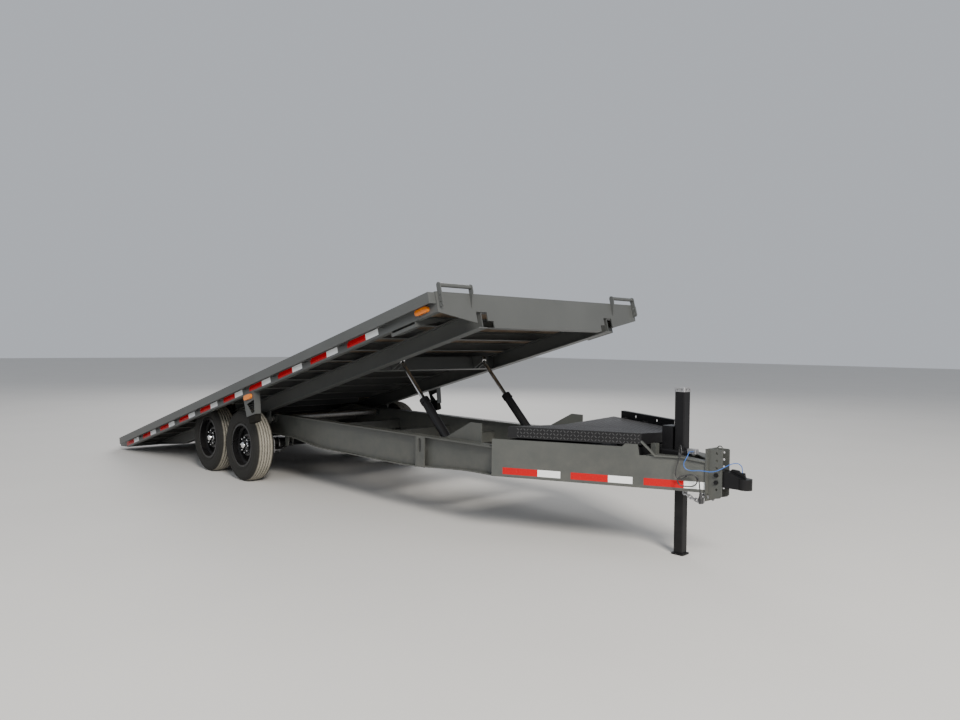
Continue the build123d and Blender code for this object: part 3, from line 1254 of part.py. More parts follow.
def cylinder_barrel():
    eye_half = CYL_EYE_WIDTH / 2
    length = CYL_BARREL_LENGTH
    barrel = rod_x(0, 0, CYL_BARREL_R, (CYL_EYE_R + 8, length))
    barrel += rod_y(0, 0, CYL_EYE_R, (-eye_half, eye_half))
    barrel += block((0, CYL_EYE_R + 8), (-eye_half, eye_half), (-CYL_EYE_R + 6, CYL_EYE_R - 6))
    barrel += rod_x(0, 0, CYL_BARREL_R + 5, (length - 30, length + 16))
    for x in (CYL_EYE_R + PORT_INSET, length - PORT_INSET):
        barrel += rod_z(x, 0, PORT_R, (-CYL_BARREL_R - PORT_RISE, 0))
    barrel -= rod_x(0, 0, CYL_ROD_R + RUN_CLEAR, (90, length + 20))
    barrel -= rod_y(0, 0, CYL_PIN_R + RUN_CLEAR, (-eye_half - 1, eye_half + 1))
    return barrel


def cylinder_rod():
    eye_half = CYL_EYE_WIDTH / 2
    stroke = CYL_OUT - CYL_IN
    inside = 100 + stroke
    rod = rod_x(0, 0, CYL_ROD_R, (inside, CYL_OUT - CYL_EYE_R + 4))
    rod += rod_y(CYL_OUT, 0, CYL_EYE_R, (-eye_half, eye_half))
    return rod


def cylinder_feet():
    """Lower ears and pins on the frame cross-member."""
    ear_outer = CYL_EYE_WIDTH / 2 + CYL_EAR_GAP
    tube_rear = CYL_TUBE_X - 30
    pieces = []
    for side in SIDES.values():
        foot = rod_y(CYL_LOWER_X, CYL_LOWER_Z, CYL_PIN_R,
                     (side * CYL_Y - ear_outer - CYL_EAR - 6, side * CYL_Y + ear_outer + CYL_EAR + 6))
        for face in (-ear_outer - CYL_EAR, ear_outer):
            y = (side * CYL_Y + face, side * CYL_Y + face + CYL_EAR)
            ear = [
                (tube_rear, CYL_LOWER_Z - 72), (tube_rear, CYL_LOWER_Z + 38),
                (CYL_LOWER_X - 14, CYL_LOWER_Z + 28), (CYL_LOWER_X - 26, CYL_LOWER_Z),
                (CYL_LOWER_X - 14, CYL_LOWER_Z - 28),
            ]
            foot += side_plate(ear, y)
        pieces.append(foot)
    return pieces


def build():
    right_rail = rail_right()
    save("rail_right", right_rail)
    save("rail_left", other_side(right_rail))
    save("frame_cross_tubes", *frame_cross_tubes())
    save("frame_guides", *frame_guides())
    save("cylinder_feet", *cylinder_feet())
    right_tongue = tongue_right()
    save("tongue_right", right_tongue)
    save("tongue_left", other_side(right_tongue))
    save("tongue_cross_plates", *tongue_cross_plates())
    save("box_angle", box_angle())
    save("tool_box", tool_box())
    save("tool_box_lid", tool_box_lid())
    save("power_unit", *power_unit())
    save("jack_tube", jack_tube())
    save("jack_cap", jack_cap())
    save("jack_leg", jack_leg())
    save("coupler_channel", coupler_channel())
    save("coupler", coupler())
    save("safety_chains", *safety_chains())
    save("trailer_cord", trailer_cord())
    save("trailer_plug", trailer_plug())
    save("cord_gland", cord_gland())
    save("breakaway_cable", breakaway_cable())
    save("breakaway_switch", breakaway_switch())
    save("pivot_shaft", pivot_shaft())
    for name, x in AXLES.items():
        save(f"axle_{name}", axle(x))
    save("leaf_springs", *springs())
    save("spring_hangers", *hangers())
    save("u_bolts", *u_bolts())
    round_tyre, round_rim = tyre(), rim()
    for axle_name, x in AXLES.items():
        for side_name, side in SIDES.items():
            place = wheel_place(x, side)
            save(f"tyre_{axle_name}_{side_name}", place * round_tyre)
            save(f"rim_{axle_name}_{side_name}", place * round_rim)

    def on(*shapes):
        return [DECK_PLACE * shape for shape in shapes]

    beam = deck_beam()
    channel = side_channel()
    pockets = stake_pockets()
    rub = rub_rail()
    save("deck_beam_right", *on(beam))
    save("deck_beam_left", *on(other_side(beam)))
    save("deck_cross_members", *on(*deck_cross_members()))
    save("side_channel_right", *on(channel))
    save("side_channel_left", *on(other_side(channel)))
    save("stake_pockets_right", *on(*pockets))
    save("stake_pockets_left", *on(*[other_side(pocket) for pocket in pockets]))
    save("rub_rail_right", *on(rub))
    save("rub_rail_left", *on(other_side(rub)))
    save("floor_planks", *on(*floor_planks()))
    cover = wheel_cover()
    save("wheel_covers", *on(cover, other_side(cover)))
    save("header", *on(header()))
    hoop = tie_hoop()
    save("tie_hoops", *on(hoop, other_side(hoop)))
    save("tail_section", *on(tail_section()))
    step, bracket, rubber = side_step(), marker_bracket(), rubber_block()
    save("side_steps", *on(step, other_side(step)))
    save("marker_brackets", *on(bracket, other_side(bracket)))
    save("rubber_blocks", *on(rubber, other_side(rubber)))
    save("amber_lamps", *on(*amber_lamps()))
    save("red_lamps", *on(*red_lamps()))
    barrel, rod = cylinder_barrel(), cylinder_rod()
    for name, side in SIDES.items():
        place = cylinder_place(side)
        save(f"cylinder_barrel_{name}", place * barrel)
        save(f"cylinder_rod_{name}", place * rod)


build()
print("origin x", round(ORIGIN_X, 3))
print("cylinder out", round(CYL_OUT, 2), round(degrees(CYL_ANGLE), 3))
print("cylinder in", round(CYL_IN, 2), round(degrees(CYL_FLAT_ANGLE), 3))
print("tongue", round(TONGUE_ANGLE, 3), round(TONGUE_RUN, 1))
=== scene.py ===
"""Looks of a deck-over tilt trailer: paint, timber, tyres, lamps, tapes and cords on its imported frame."""
import json
from math import cos, pi, radians, sin

import bpy
import numpy as np
from mathutils import Matrix, Vector


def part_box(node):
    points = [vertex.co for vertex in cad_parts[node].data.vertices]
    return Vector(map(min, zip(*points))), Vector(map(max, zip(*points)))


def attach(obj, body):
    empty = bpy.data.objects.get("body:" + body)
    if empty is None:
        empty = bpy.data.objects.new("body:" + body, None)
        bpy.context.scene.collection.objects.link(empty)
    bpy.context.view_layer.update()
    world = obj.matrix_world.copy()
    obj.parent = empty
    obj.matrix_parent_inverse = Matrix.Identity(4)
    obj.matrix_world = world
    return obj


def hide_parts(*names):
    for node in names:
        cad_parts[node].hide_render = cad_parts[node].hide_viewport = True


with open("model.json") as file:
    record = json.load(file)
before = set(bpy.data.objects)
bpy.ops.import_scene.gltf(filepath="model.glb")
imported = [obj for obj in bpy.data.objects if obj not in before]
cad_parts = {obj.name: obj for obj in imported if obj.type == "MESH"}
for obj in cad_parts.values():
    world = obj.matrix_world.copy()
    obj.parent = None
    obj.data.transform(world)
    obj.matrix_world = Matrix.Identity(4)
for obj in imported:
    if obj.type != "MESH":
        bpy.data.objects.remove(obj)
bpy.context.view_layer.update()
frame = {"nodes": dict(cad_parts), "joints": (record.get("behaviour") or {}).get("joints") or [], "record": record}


# Camera: at eye height off the right-hand front corner, with a lens that leans a little.
# Places are measured in metres from the ground point midway between the axles.
def hub_of(wheel):
    """Centre of a wheel at rest, such as front_right."""
    low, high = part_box(f"tyre_{wheel}")
    return (low + high) / 2


MID_AXLES = round((hub_of("front_right").x + hub_of("rear_right").x) / 2, 6)     # to a micrometre


def place(x, y, z):
    return Vector((x + MID_AXLES, y, z))


EYE = place(8.1438, -4.8443, 1.5075)
YAW, PITCH, ROLL = radians(136.63), -0.0215, 0.0112
SENSOR_WIDTH, FOCAL_LENGTH = 36, 28.62      # millimetres

ahead = Vector((cos(YAW) * cos(PITCH), sin(YAW) * cos(PITCH), sin(PITCH)))
level = Vector((sin(YAW), -cos(YAW), 0))
upright = level.cross(ahead)
right = cos(ROLL) * level + sin(ROLL) * upright
up = cos(ROLL) * upright - sin(ROLL) * level
lens = bpy.data.cameras.new("camera")
lens.sensor_width = SENSOR_WIDTH
lens.lens = FOCAL_LENGTH
camera = bpy.data.objects.new("camera", lens)
camera.matrix_world = Matrix.Translation(EYE) @ Matrix((right, up, -ahead)).transposed().to_4x4()
bpy.context.scene.collection.objects.link(camera)
bpy.context.scene.camera = camera


# Floor and light: a pale matt studio floor under a large soft key and a dim sky.
# The key stands high ahead of the trailer, with a fill on its right and a light behind.
class Wire:
    """An output in a material's node tree; sums and products of wires add Math nodes."""

    def __init__(self, tree, socket=None):
        self.tree = tree
        self.socket = socket

    def add(self, kind, inputs=None, out=0, stops=(), **settings):
        """Adds a node: its settings, a ramp's (position, shade) stops, then its inputs."""
        node = self.tree.nodes.new("ShaderNode" + kind)
        for name, value in settings.items():
            setattr(node, name, value)
        for k, (position, shade) in enumerate(stops):
            node.color_ramp.elements[k].position = position
            node.color_ramp.elements[k].color = (shade, shade, shade, 1)
        for key, value in (inputs or {}).items():
            if isinstance(value, Wire):
                self.tree.links.new(value.socket, node.inputs[key])
            else:
                node.inputs[key].default_value = value
        return Wire(self.tree, node.outputs[out])

    def math(self, operation, *values):
        return self.add("Math", dict(enumerate(values)), operation=operation)

    def __add__(self, other):
        return self.math("ADD", self, other)

    def __sub__(self, other):
        return self.math("SUBTRACT", self, other)

    def __rsub__(self, other):
        return self.math("SUBTRACT", other, self)

    def __mul__(self, other):
        return self.math("MULTIPLY", self, other)

    __radd__ = __add__
    __rmul__ = __mul__

    def noise(self, scale, detail=4, **more):
        return self.add("TexNoise", {"Vector": self, "Scale": scale, "Detail": detail, **more})

    def ramp(self, first, last):
        """Shade of two (position, shade) stops at this wire's value."""
        return self.add("ValToRGB", {0: self}, stops=(first, last))

    def mix(self, low, high):
        """Colour from low to high as this wire goes from 0 to 1."""
        sides = [side if isinstance(side, Wire) else (*side, 1) for side in (low, high)]
        return self.add("Mix", {0: self, 6: sides[0], 7: sides[1]}, out=2, data_type="RGBA")

    def axis(self, name):
        return self.add("SeparateXYZ", {0: self}, out=name)

    def bump(self, strength, depth):
        return self.add("Bump", {"Height": self, "Strength": strength, "Distance": depth})

    def into(self, shader, socket):
        self.tree.links.new(self.socket, shader.inputs[socket])


def new_finish(name, colour, roughness, **more):
    """A material with plain values; returns it, its shader and its Object coordinates."""
    material = bpy.data.materials.new(name)
    material.use_nodes = True
    shader = material.node_tree.nodes["Principled BSDF"]
    shader.inputs["Base Color"].default_value = (*colour, 1)
    shader.inputs["Roughness"].default_value = roughness
    for key, value in more.items():
        shader.inputs[key.replace("_", " ")].default_value = value
    return material, shader, Wire(material.node_tree).add("TexCoord", out="Object")


FLOOR_REACH = 60
LIGHTS = (                      # name, place, aim, width, watts, colour
    ("key", (15.0, -6.5, 10.0), (0.5, 0.0, 0.5), 5.0, 4200, (1.0, 0.95, 0.88)),
    ("fill", (4.0, -14.0, 6.0), (1.0, 0.0, 0.5), 9.0, 500, (0.9, 0.95, 1.0)),
    ("back", (-9.0, 8.0, 9.0), (-1.0, 0.0, 0.5), 7.0, 900, (1.0, 0.98, 0.95)),
)

corners = [(x * FLOOR_REACH, y * FLOOR_REACH, 0) for x, y in ((-1, -1), (1, -1), (1, 1), (-1, 1))]
floor_data = bpy.data.meshes.new("studio_floor")
floor_data.from_pydata(corners, [], [(0, 1, 2, 3)])
floor = bpy.data.objects.new("studio_floor", floor_data)
bpy.context.scene.collection.objects.link(floor)
material, shader, spot = new_finish("studio_floor", (0.58, 0.57, 0.55), 0.85)
spot.noise(0.7).mix((0.56, 0.55, 0.53), (0.61, 0.60, 0.58)).into(shader, "Base Color")
floor_data.materials.append(material)
world = bpy.data.worlds.new("studio")
world.use_nodes = True
world.node_tree.nodes["Background"].inputs["Color"].default_value = (0.84, 0.88, 0.95, 1)
world.node_tree.nodes["Background"].inputs["Strength"].default_value = 0.6
bpy.context.scene.world = world
for name, where, aim, width, watts, colour in LIGHTS:
    lamp = bpy.data.lights.new(name, "AREA")
    lamp.size = width
    lamp.energy = watts
    lamp.color = colour
    light = bpy.data.objects.new(name, lamp)
    light.location = where
    light.rotation_euler = (Vector(aim) - Vector(where)).to_track_quat("-Z", "Y").to_euler()
    bpy.context.scene.collection.objects.link(light)


# Painted steel: beams, plates and channels, shop primed and sprayed one coat deep.
# Orange peel, faint clouding and grey road dust that settles on the lower parts.
ROAD_DUST = (0.30, 0.27, 0.22)


def painted(name, colour, roughness, dust, gloss):
    """Sprayed paint; dust is how much of it clings low down, gloss how strongly it shines."""
    material, shader, spot = new_finish(name, colour, roughness, Specular_IOR_Level=gloss,
                                        Coat_Weight=gloss * 0.3, Coat_Roughness=0.25)
    cloud = spot.noise(1.6, 6).ramp((0.3, 0), (0.7, 1))
    film = spot.noise(9.0, 8, Roughness=0.7)
    height = spot.axis("Z")
    low = height.add("MapRange", {"Value": height, "From Min": 1.0, "From Max": 0.1})
    dusty = low * film.ramp((0.35, 0), (0.75, 1)) * dust
    base = cloud.mix(tuple(part * 0.82 for part in colour), colour)
    dusty.mix(base, ROAD_DUST).into(shader, "Base Color")
    (roughness + film * 0.12 + dusty * 0.35).into(shader, "Roughness")
    peel = spot.noise(420, 2) + spot.noise(35, 3) * 0.6
    peel.bump(0.12, 0.0006).into(shader, "Normal")
    return material


FINISHES = {
    "frame_paint": painted("frame_paint", (0.064, 0.068, 0.063), 0.40, 0.22, 0.4),
    "deck_paint": painted("deck_paint", (0.076, 0.080, 0.078), 0.42, 0.18, 0.4),
    "wheel_paint": painted("wheel_paint", (0.006, 0.006, 0.007), 0.22, 0.04, 0.3),
    "black_paint": painted("black_paint", (0.006, 0.006, 0.007), 0.34, 0.03, 0.2),
    "tread_plate": painted("tread_plate", (0.007, 0.007, 0.008), 0.38, 0.05, 0.25),
}


# Deck timber: thirteen rough-sawn planks laid along the deck, oiled dark, greying with dust.
# Grain runs the length of each plank, and the shade changes from plank to plank.
TILTING = next(joint for joint in frame["joints"] if joint["name"] == "deck_tilt")
TILT = radians(TILTING["range_deg"][1])
PLANKS = 13
PLANK_GAP = 0.004
PLANKS_RIGHT, PLANKS_LEFT = (corner.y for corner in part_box("floor_planks"))
PLANK_PITCH = round((PLANKS_LEFT - PLANKS_RIGHT + PLANK_GAP) / PLANKS, 4)     # set out to 0.1 mm


def timber():
    material, shader, spot = new_finish("planks", (0.16, 0.11, 0.07), 0.7)
    along = spot.add("Mapping", {0: spot, "Rotation": (0, TILT, 0)})
    plank = spot.math("FLOOR", (spot.axis("Y") - PLANKS_RIGHT) * (1 / PLANK_PITCH))
    tone = plank.add("TexWhiteNoise", {"W": plank}, noise_dimensions="1D")
    stretched = along.add("Mapping", {0: along, "Scale": (0.7, 26, 26)})
    grain = stretched.noise(1.0, 9, Roughness=0.65, Distortion=0.5)
    streak = grain * 0.65 + stretched.noise(5.0, 3) * 0.35
    wood = streak.ramp((0.32, 0), (0.68, 1)).mix((0.07, 0.045, 0.028), (0.23, 0.165, 0.105))
    (tone * 0.5).mix(wood, (0.10, 0.075, 0.055)).into(shader, "Base Color")
    (0.6 + streak * 0.25).into(shader, "Roughness")
    streak.bump(0.5, 0.0015).into(shader, "Normal")
    return material


FINISHES["planks"] = timber()


# Bump blocks: moulded rubber under each marker bracket, black with a faint brown bloom.
# The mould leaves a fine pebbled skin, which dulls where it is rubbed.
def block_rubber():
    black = (0.009, 0.009, 0.008)
    material, shader, spot = new_finish("rubber", black, 0.75, Specular_IOR_Level=0.06)
    grime = spot.noise(24, 7, Roughness=0.7)
    bloom = grime.ramp((0.3, 0.25), (0.7, 1)) * 0.03
    bloom.mix(black, (0.24, 0.20, 0.16)).into(shader, "Base Color")
    (0.66 + grime * 0.25).into(shader, "Roughness")
    (spot.noise(260, 4) + grime * 0.5).bump(0.25, 0.0008).into(shader, "Normal")
    return material


FINISHES["rubber"] = block_rubber()


# Tyres: 235/85R16 trailer radials, moulded casing with five ribs between four grooves.
# The sidewall has fine rings and a rim guard, the shoulders are notched, and pale dust
# lies on the ribs, which have run on the road.
SIDES = (("right", -1), ("left", 1))
WHEELS = [(f"{end}_{name}", side) for end in ("front", "rear") for name, side in SIDES]
MOULD_STEPS = 288               # sections round the casing
TREAD_RADIUS = 0.3832
CROWN = 0.005                   # how much lower the ribs lie at the shoulders
TREAD_HALF = 0.080
RIB_EDGE = 0.064                # where the ribs start to round off
GROOVES = (-0.046, -0.0155, 0.0155, 0.046)
GROOVE_HALF = 0.0042
GROOVE_SLOPE = 0.001
GROOVE_DEPTH = 0.010
ZIGZAG, ZIGZAG_STEPS = 0.0016, 2            # the grooves' swing, and the sections in each leg
NOTCH_DEPTH, NOTCH_INSET = 0.0025, 0.985    # how the shoulders drop and draw in at a notch
NOTCH_PITCH, NOTCH_STEPS = 6, 2             # sections from one notch to the next, and in a notch
WALL = (                        # radius and half width, from the bead out to the shoulder
    (0.2225, 0.086), (0.2355, 0.087), (0.241, 0.094), (0.2475, 0.0985), (0.250, 0.1035), (0.254, 0.104),
    (0.257, 0.1015), (0.272, 0.1045), (0.290, 0.1068), (0.306, 0.1073), (0.322, 0.1065), (0.337, 0.104),
    (0.340, 0.1045), (0.343, 0.1025), (0.356, 0.098), (0.366, 0.0925), (0.3735, 0.0865),
)
WORN_RADIUS, WORN_HALF = 0.3772, 0.079      # the ribs' faces lie past the one and inside the other


def tread_rubber():
    """Its map runs u round the wheel and v from the inner bead to the outer one."""
    material, shader, spot = new_finish("tread_rubber", (0.03, 0.028, 0.026), 0.8, Specular_IOR_Level=0.3)
    own = spot.add("UVMap", uv_map="tyre")
    across = own.axis("Y")
    face = spot.add("Attribute", out="Fac", attribute_name="worn")
    dirt = spot.noise(30, 8, Roughness=0.72)
    dusty = face * dirt.ramp((0.2, 0.55), (0.6, 1)) + dirt * 0.05
    dusty.mix((0.009, 0.0088, 0.0083), (0.31, 0.29, 0.24)).into(shader, "Base Color")
    slant = own.axis("X") * 150 + across * 14       # 75 slanting sipes round the tyre
    sipes = spot.math("PINGPONG", slant, 1).ramp((0.06, 0), (0.14, 1)) * face
    rings = spot.math("SINE", across * 420) * (1 - face) * 0.25
    (sipes + rings + spot.noise(300, 4) * 0.4).bump(0.5, 0.0016).into(shader, "Normal")
    (0.7 + dirt * 0.2).into(shader, "Roughness")
    return material


def tyre_outline():
    """The casing's section as (radius, offset) from the inner bead over the tread."""
    marks = [-TREAD_HALF, -RIB_EDGE]
    for middle in GROOVES:
        marks += [middle - GROOVE_HALF, middle - GROOVE_HALF + GROOVE_SLOPE,
                  middle + GROOVE_HALF - GROOVE_SLOPE, middle + GROOVE_HALF]
    marks += [RIB_EDGE, TREAD_HALF]
    tread = []
    for offset in marks:
        deep = any(abs(offset - middle) < GROOVE_HALF - GROOVE_SLOPE / 2 for middle in GROOVES)
        tread.append((TREAD_RADIUS - CROWN * (offset / TREAD_HALF) ** 2 - GROOVE_DEPTH * deep, offset))
    return [(r, -w) for r, w in WALL] + tread + [(r, w) for r, w in reversed(WALL)]


def tread_ring(outline, k):
    """Section k of the casing: zigzag grooves, and notches along both shoulders."""
    radius, offset = outline[:, 0], np.abs(outline[:, 1])
    grooved = (radius > TREAD_RADIUS - CROWN - GROOVE_DEPTH) & (offset < RIB_EDGE)
    outline[grooved, 1] += ZIGZAG if k // ZIGZAG_STEPS % 2 else -ZIGZAG
    if k % NOTCH_PITCH < NOTCH_STEPS:
        shoulder = (radius >= WALL[-2][0]) & (offset > RIB_EDGE)
        outline[shoulder, 0] -= NOTCH_DEPTH
        outline[shoulder, 1] *= NOTCH_INSET
    return outline


def new_piece(name, verts, faces, materials, slots=None, smooth=True):
    mesh = bpy.data.meshes.new(name)
    mesh.from_pydata([tuple(v) for v in verts], [], faces)
    for material in materials:
        mesh.materials.append(material)
    if slots is not None:
        mesh.polygons.foreach_set("material_index", slots)
    mesh.polygons.foreach_set("use_smooth", [smooth] * len(mesh.polygons))
    mesh.update()
    piece = bpy.data.objects.new(name, mesh)
    bpy.context.scene.collection.objects.link(piece)
    return piece


def moulded_tyre(name, hub, side):
    """The section turned about the axle, with its own map and its worn ribs marked."""
    outline = np.array(tyre_outline())
    size = len(outline)
    rings, faces = [], []
    for k in range(MOULD_STEPS):
        ring = tread_ring(outline.copy(), k)
        turn = 2 * pi * k / MOULD_STEPS
        rings.append(np.column_stack((hub.x + ring[:, 0] * cos(turn), hub.y + side * ring[:, 1],
                                      hub.z + ring[:, 0] * sin(turn))))
        one, two = k * size, (k + 1) % MOULD_STEPS * size
        for j in range(size):
            after = (j + 1) % size
            corners = [one + j, one + after, two + after, two + j]
            faces.append(corners if side > 0 else corners[::-1])
    piece = new_piece(name, np.vstack(rings), faces, [FINISHES["tyre"]])
    run = np.concatenate(([0], np.cumsum(np.hypot(*np.diff(outline, axis=0).T))))
    run /= run[-1]
    own = piece.data.uv_layers.new(name="tyre")
    for face in piece.data.polygons:
        last = face.index // size == MOULD_STEPS - 1
        for loop in face.loop_indices:
            ring, mark = divmod(piece.data.loops[loop].vertex_index, size)
            around = MOULD_STEPS if last and ring == 0 else ring
            own.data[loop].uv = (around / MOULD_STEPS, run[mark])
    worn = piece.data.attributes.new("worn", "FLOAT", "POINT")
    for vertex in piece.data.vertices:
        radius = (vertex.co - hub).xz.length
        worn.data[vertex.index].value = radius > WORN_RADIUS and abs(vertex.co.y - hub.y) < WORN_HALF
    return piece


FINISHES["tyre"] = tread_rubber()
for wheel, side in WHEELS:
    tyre = moulded_tyre(f"tyre_{wheel}_moulded", hub_of(wheel), side)
    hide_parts(f"tyre_{wheel}")
    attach(tyre, f"wheel_{wheel}")


# Bright metal: chrome rods and nut covers, zinc chain and bolts, and worn shaft ends.
# Chrome has only fine wipe marks; zinc is cloudy with dull passivation blooms.
def bright(name, colour, roughness, wear, scale):
    """Bare or plated metal; wear is how much of it is dull, scale how small the blooms are."""
    material, shader, spot = new_finish(name, colour, roughness, Metallic=1.0)
    bloom = spot.noise(scale, 6, Roughness=0.7)
    dull = tuple(part * 0.55 for part in colour)
    (bloom.ramp((0.4, 0), (0.75, 1)) * wear).mix(colour, dull).into(shader, "Base Color")
    (roughness + bloom * (wear * 0.5)).into(shader, "Roughness")
    spot.noise(scale * 14, 2).bump(0.08, 0.0004).into(shader, "Normal")
    return material


FINISHES["bright_steel"] = bright("bright_steel", (0.52, 0.51, 0.49), 0.28, 0.6, 40)
FINISHES["chrome"] = bright("chrome", (0.80, 0.80, 0.80), 0.06, 0.1, 60)
FINISHES["zinc"] = bright("zinc", (0.42, 0.42, 0.43), 0.42, 0.8, 24)


# Wheel trim: chrome nut covers and a spun hub cap on each black disc wheel.
# Eight studs on a 165 mm circle; the cap is pressed over the grease cap.
def copies_group():
    """Geometry Nodes that put a pattern on every point, turned as the point's attribute says."""
    group = bpy.data.node_groups.new("copies on points", "GeometryNodeTree")
    ports = group.interface
    ports.new_socket("Geometry", in_out="INPUT", socket_type="NodeSocketGeometry")
    ports.new_socket("Pattern", in_out="INPUT", socket_type="NodeSocketObject")
    ports.new_socket("Finish", in_out="INPUT", socket_type="NodeSocketMaterial")
    ports.new_socket("Geometry", in_out="OUTPUT", socket_type="NodeSocketGeometry")
    given, info, instance, realise, finish, out = (group.nodes.new(kind) for kind in (
        "NodeGroupInput", "GeometryNodeObjectInfo", "GeometryNodeInstanceOnPoints",
        "GeometryNodeRealizeInstances", "GeometryNodeSetMaterial", "NodeGroupOutput"))
    turn = group.nodes.new("GeometryNodeInputNamedAttribute")
    turn.data_type = "FLOAT_VECTOR"
    turn.inputs["Name"].default_value = "turn"
    for source, target in (
        (given.outputs["Pattern"], info.inputs["Object"]),
        (given.outputs["Geometry"], instance.inputs["Points"]),
        (info.outputs["Geometry"], instance.inputs["Instance"]),
        (turn.outputs["Attribute"], instance.inputs["Rotation"]),
        (instance.outputs["Instances"], realise.inputs["Geometry"]),
        (realise.outputs["Geometry"], finish.inputs["Geometry"]),
        (given.outputs["Finish"], finish.inputs["Material"]),
        (finish.outputs["Geometry"], out.inputs["Geometry"]),
    ):
        group.links.new(source, target)
    return group


COPIES = copies_group()


def copies(name, pattern, spots, finish):
    """One plain mesh of a pattern (vertices, faces) at every (place, turn) of a list."""
    stamp = new_piece(name + "_pattern", *pattern, [finish], smooth=False)
    points = new_piece(name, [where for where, turn in spots], [], [finish])
    layer = points.data.attributes.new("turn", "FLOAT_VECTOR", "POINT")
    layer.data.foreach_set("vector", [part for where, turn in spots for part in turn])
    maker = points.modifiers.new("copies", "NODES")
    maker.node_group = COPIES
    ids = {item.name: item.identifier for item in COPIES.interface.items_tree if item.in_out == "INPUT"}
    maker[ids["Pattern"]] = stamp
    maker[ids["Finish"]] = finish
    seen = points.evaluated_get(bpy.context.evaluated_depsgraph_get())
    made = bpy.data.meshes.new_from_object(seen)
    points.modifiers.clear()
    points.data = made
    bpy.data.objects.remove(stamp)
    return points


def capped(sides, rings):
    """A solid of revolution with few sides, from (radius, height) rings, closed by fans."""
    verts = [(r * cos(2 * pi * k / sides), r * sin(2 * pi * k / sides), h)
             for r, h in rings for k in range(sides)]
    faces = []
    for start in range(0, len(verts) - sides, sides):
        for k in range(sides):
            a, b = start + k, start + (k + 1) % sides
            faces.append((a, b, b + sides, a + sides))
    faces.append(tuple(range(sides))[::-1])
    faces.append(tuple(range(len(verts) - sides, len(verts))))
    return verts, faces


STUDS = 8
STUD_CIRCLE = 0.08255           # radius
DISC_FACE = 0.0265              # from the wheel's middle plane out to the disc
GREASE_CAP = 0.0425             # and to the ledge that the hub cap is pressed on
NUT = capped(6, [(0.0135, 0), (0.0135, 0.026), (0.0105, 0.034), (0.005, 0.0375)])
CAP = capped(48, [(0.0395, 0), (0.0405, 0.003), (0.0385, 0.0055), (0.0378, 0.029), (0.0352, 0.0365),
                  (0.029, 0.0415), (0.016, 0.0440), (0.004, 0.0445)])
for wheel, side in WHEELS:
    hub = hub_of(wheel)
    outwards = (-side * pi / 2, 0, 0)
    studs = [(hub + Vector((STUD_CIRCLE * cos(2 * pi * k / STUDS), side * DISC_FACE,
                            STUD_CIRCLE * sin(2 * pi * k / STUDS))), outwards) for k in range(STUDS)]
    centre = [(hub + Vector((0, side * GREASE_CAP, 0)), outwards)]
    for piece in (copies(f"nut_covers_{wheel}", NUT, studs, FINISHES["chrome"]),
                  copies(f"hub_cap_{wheel}", CAP, centre, FINISHES["chrome"])):
        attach(piece, f"wheel_{wheel}")


# Lamp lenses: moulded acrylic over a reflector, amber at the sides and red at the tail.
# Small square prisms show inside the lens, each painted brighter at its middle as a painted glow of light sent
# back by the reflector, and the outer skin is glossy.
def lens_finish(name, colour, painted_glow):
    material, shader, spot = new_finish(name, colour, 0.12, Coat_Weight=0.25, Coat_Roughness=0.05)
    cells = spot.add("TexVoronoi", {"Vector": spot, "Scale": 120.0, "Randomness": 0.0},
                     distance="CHEBYCHEV")
    # painted glow: each prism's middle takes the brighter colour, a painted reflection of the reflector, fading to
    # the lens colour at its edges
    cells.ramp((0.15, 0), (0.45, 1)).mix(painted_glow, colour).into(shader, "Base Color")
    cells.bump(0.6, 0.0012).into(shader, "Normal")
    (0.1 + spot.noise(60) * 0.12).into(shader, "Roughness")
    return material


FINISHES["amber_lens"] = lens_finish("amber_lens", (0.62, 0.14, 0.004), (0.95, 0.30, 0.02))
FINISHES["red_lens"] = lens_finish("red_lens", (0.42, 0.012, 0.01), (0.8, 0.05, 0.035))


# Conspicuity tape: pressed-on retroreflective strips, 51 mm high, red behind white.
# Ten strips along each side channel, three on each tongue plate, over a prism grid.
def tape(name, colour):
    material, shader, spot = new_finish(name, colour, 0.3, Coat_Weight=0.05, Coat_Roughness=0.08,
                                        Specular_IOR_Level=0.15)
    cells = spot.add("TexVoronoi", {"Vector": spot, "Scale": 260.0, "Randomness": 0.15})
    edges = cells.ramp((0.2, 1), (0.55, 0.0)) * 0.35
    scuffs = spot.noise(70, 5).ramp((0.55, 0), (0.75, 0.5))
    (edges + scuffs * 0.3).mix(colour, tuple(part * 0.5 for part in colour)).into(shader, "Base Color")
    (0.2 + scuffs * 0.4).into(shader, "Roughness")
    cells.bump(0.3, 0.0004).into(shader, "Normal")
    return material


TAPES = [tape("red_tape", (0.47, 0.003, 0.007)), tape("white_tape", (0.84, 0.86, 0.86))]
TAPE_HALF = 0.0255
TAPE_THICK = 0.0005
RED_HALF = 0.1397
WHITE_END = 0.3175              # from the middle of the red to the end of the white
PIVOT = Vector(TILTING["pos_m"])
DECK_TAPES = 10
DECK_TAPE = (-2.998, 1.2296, 0.234)         # first red's middle: along from the pivot, out, up
DECK_TAPE_PITCH = 0.6096
TONGUE_REAR = (3.940, 0.737)
TONGUE_TURN = radians(24.984)
TONGUE_TAPES = 3
TONGUE_TAPE = (0.23058, 0.0002, 0.534)      # first red's middle: along the plate, out, up
TONGUE_TAPE_PITCH = 0.5372
TONGUE_WHITE_END = 0.285                    # the last white is cut short at the nose


def on_deck(s, y, t):
    """A point s along the deck from the pivot and t above it."""
    return PIVOT + Vector((s * cos(TILT) - t * sin(TILT), y, s * sin(TILT) + t * cos(TILT)))


def tongue_plate(side):
    """Placement of a tongue plate: x along it from its rear end, y square to it."""
    return Matrix.Translation(place(TONGUE_REAR[0], side * TONGUE_REAR[1], 0)) @ Matrix.Rotation(
        -side * TONGUE_TURN, 4, "Z")


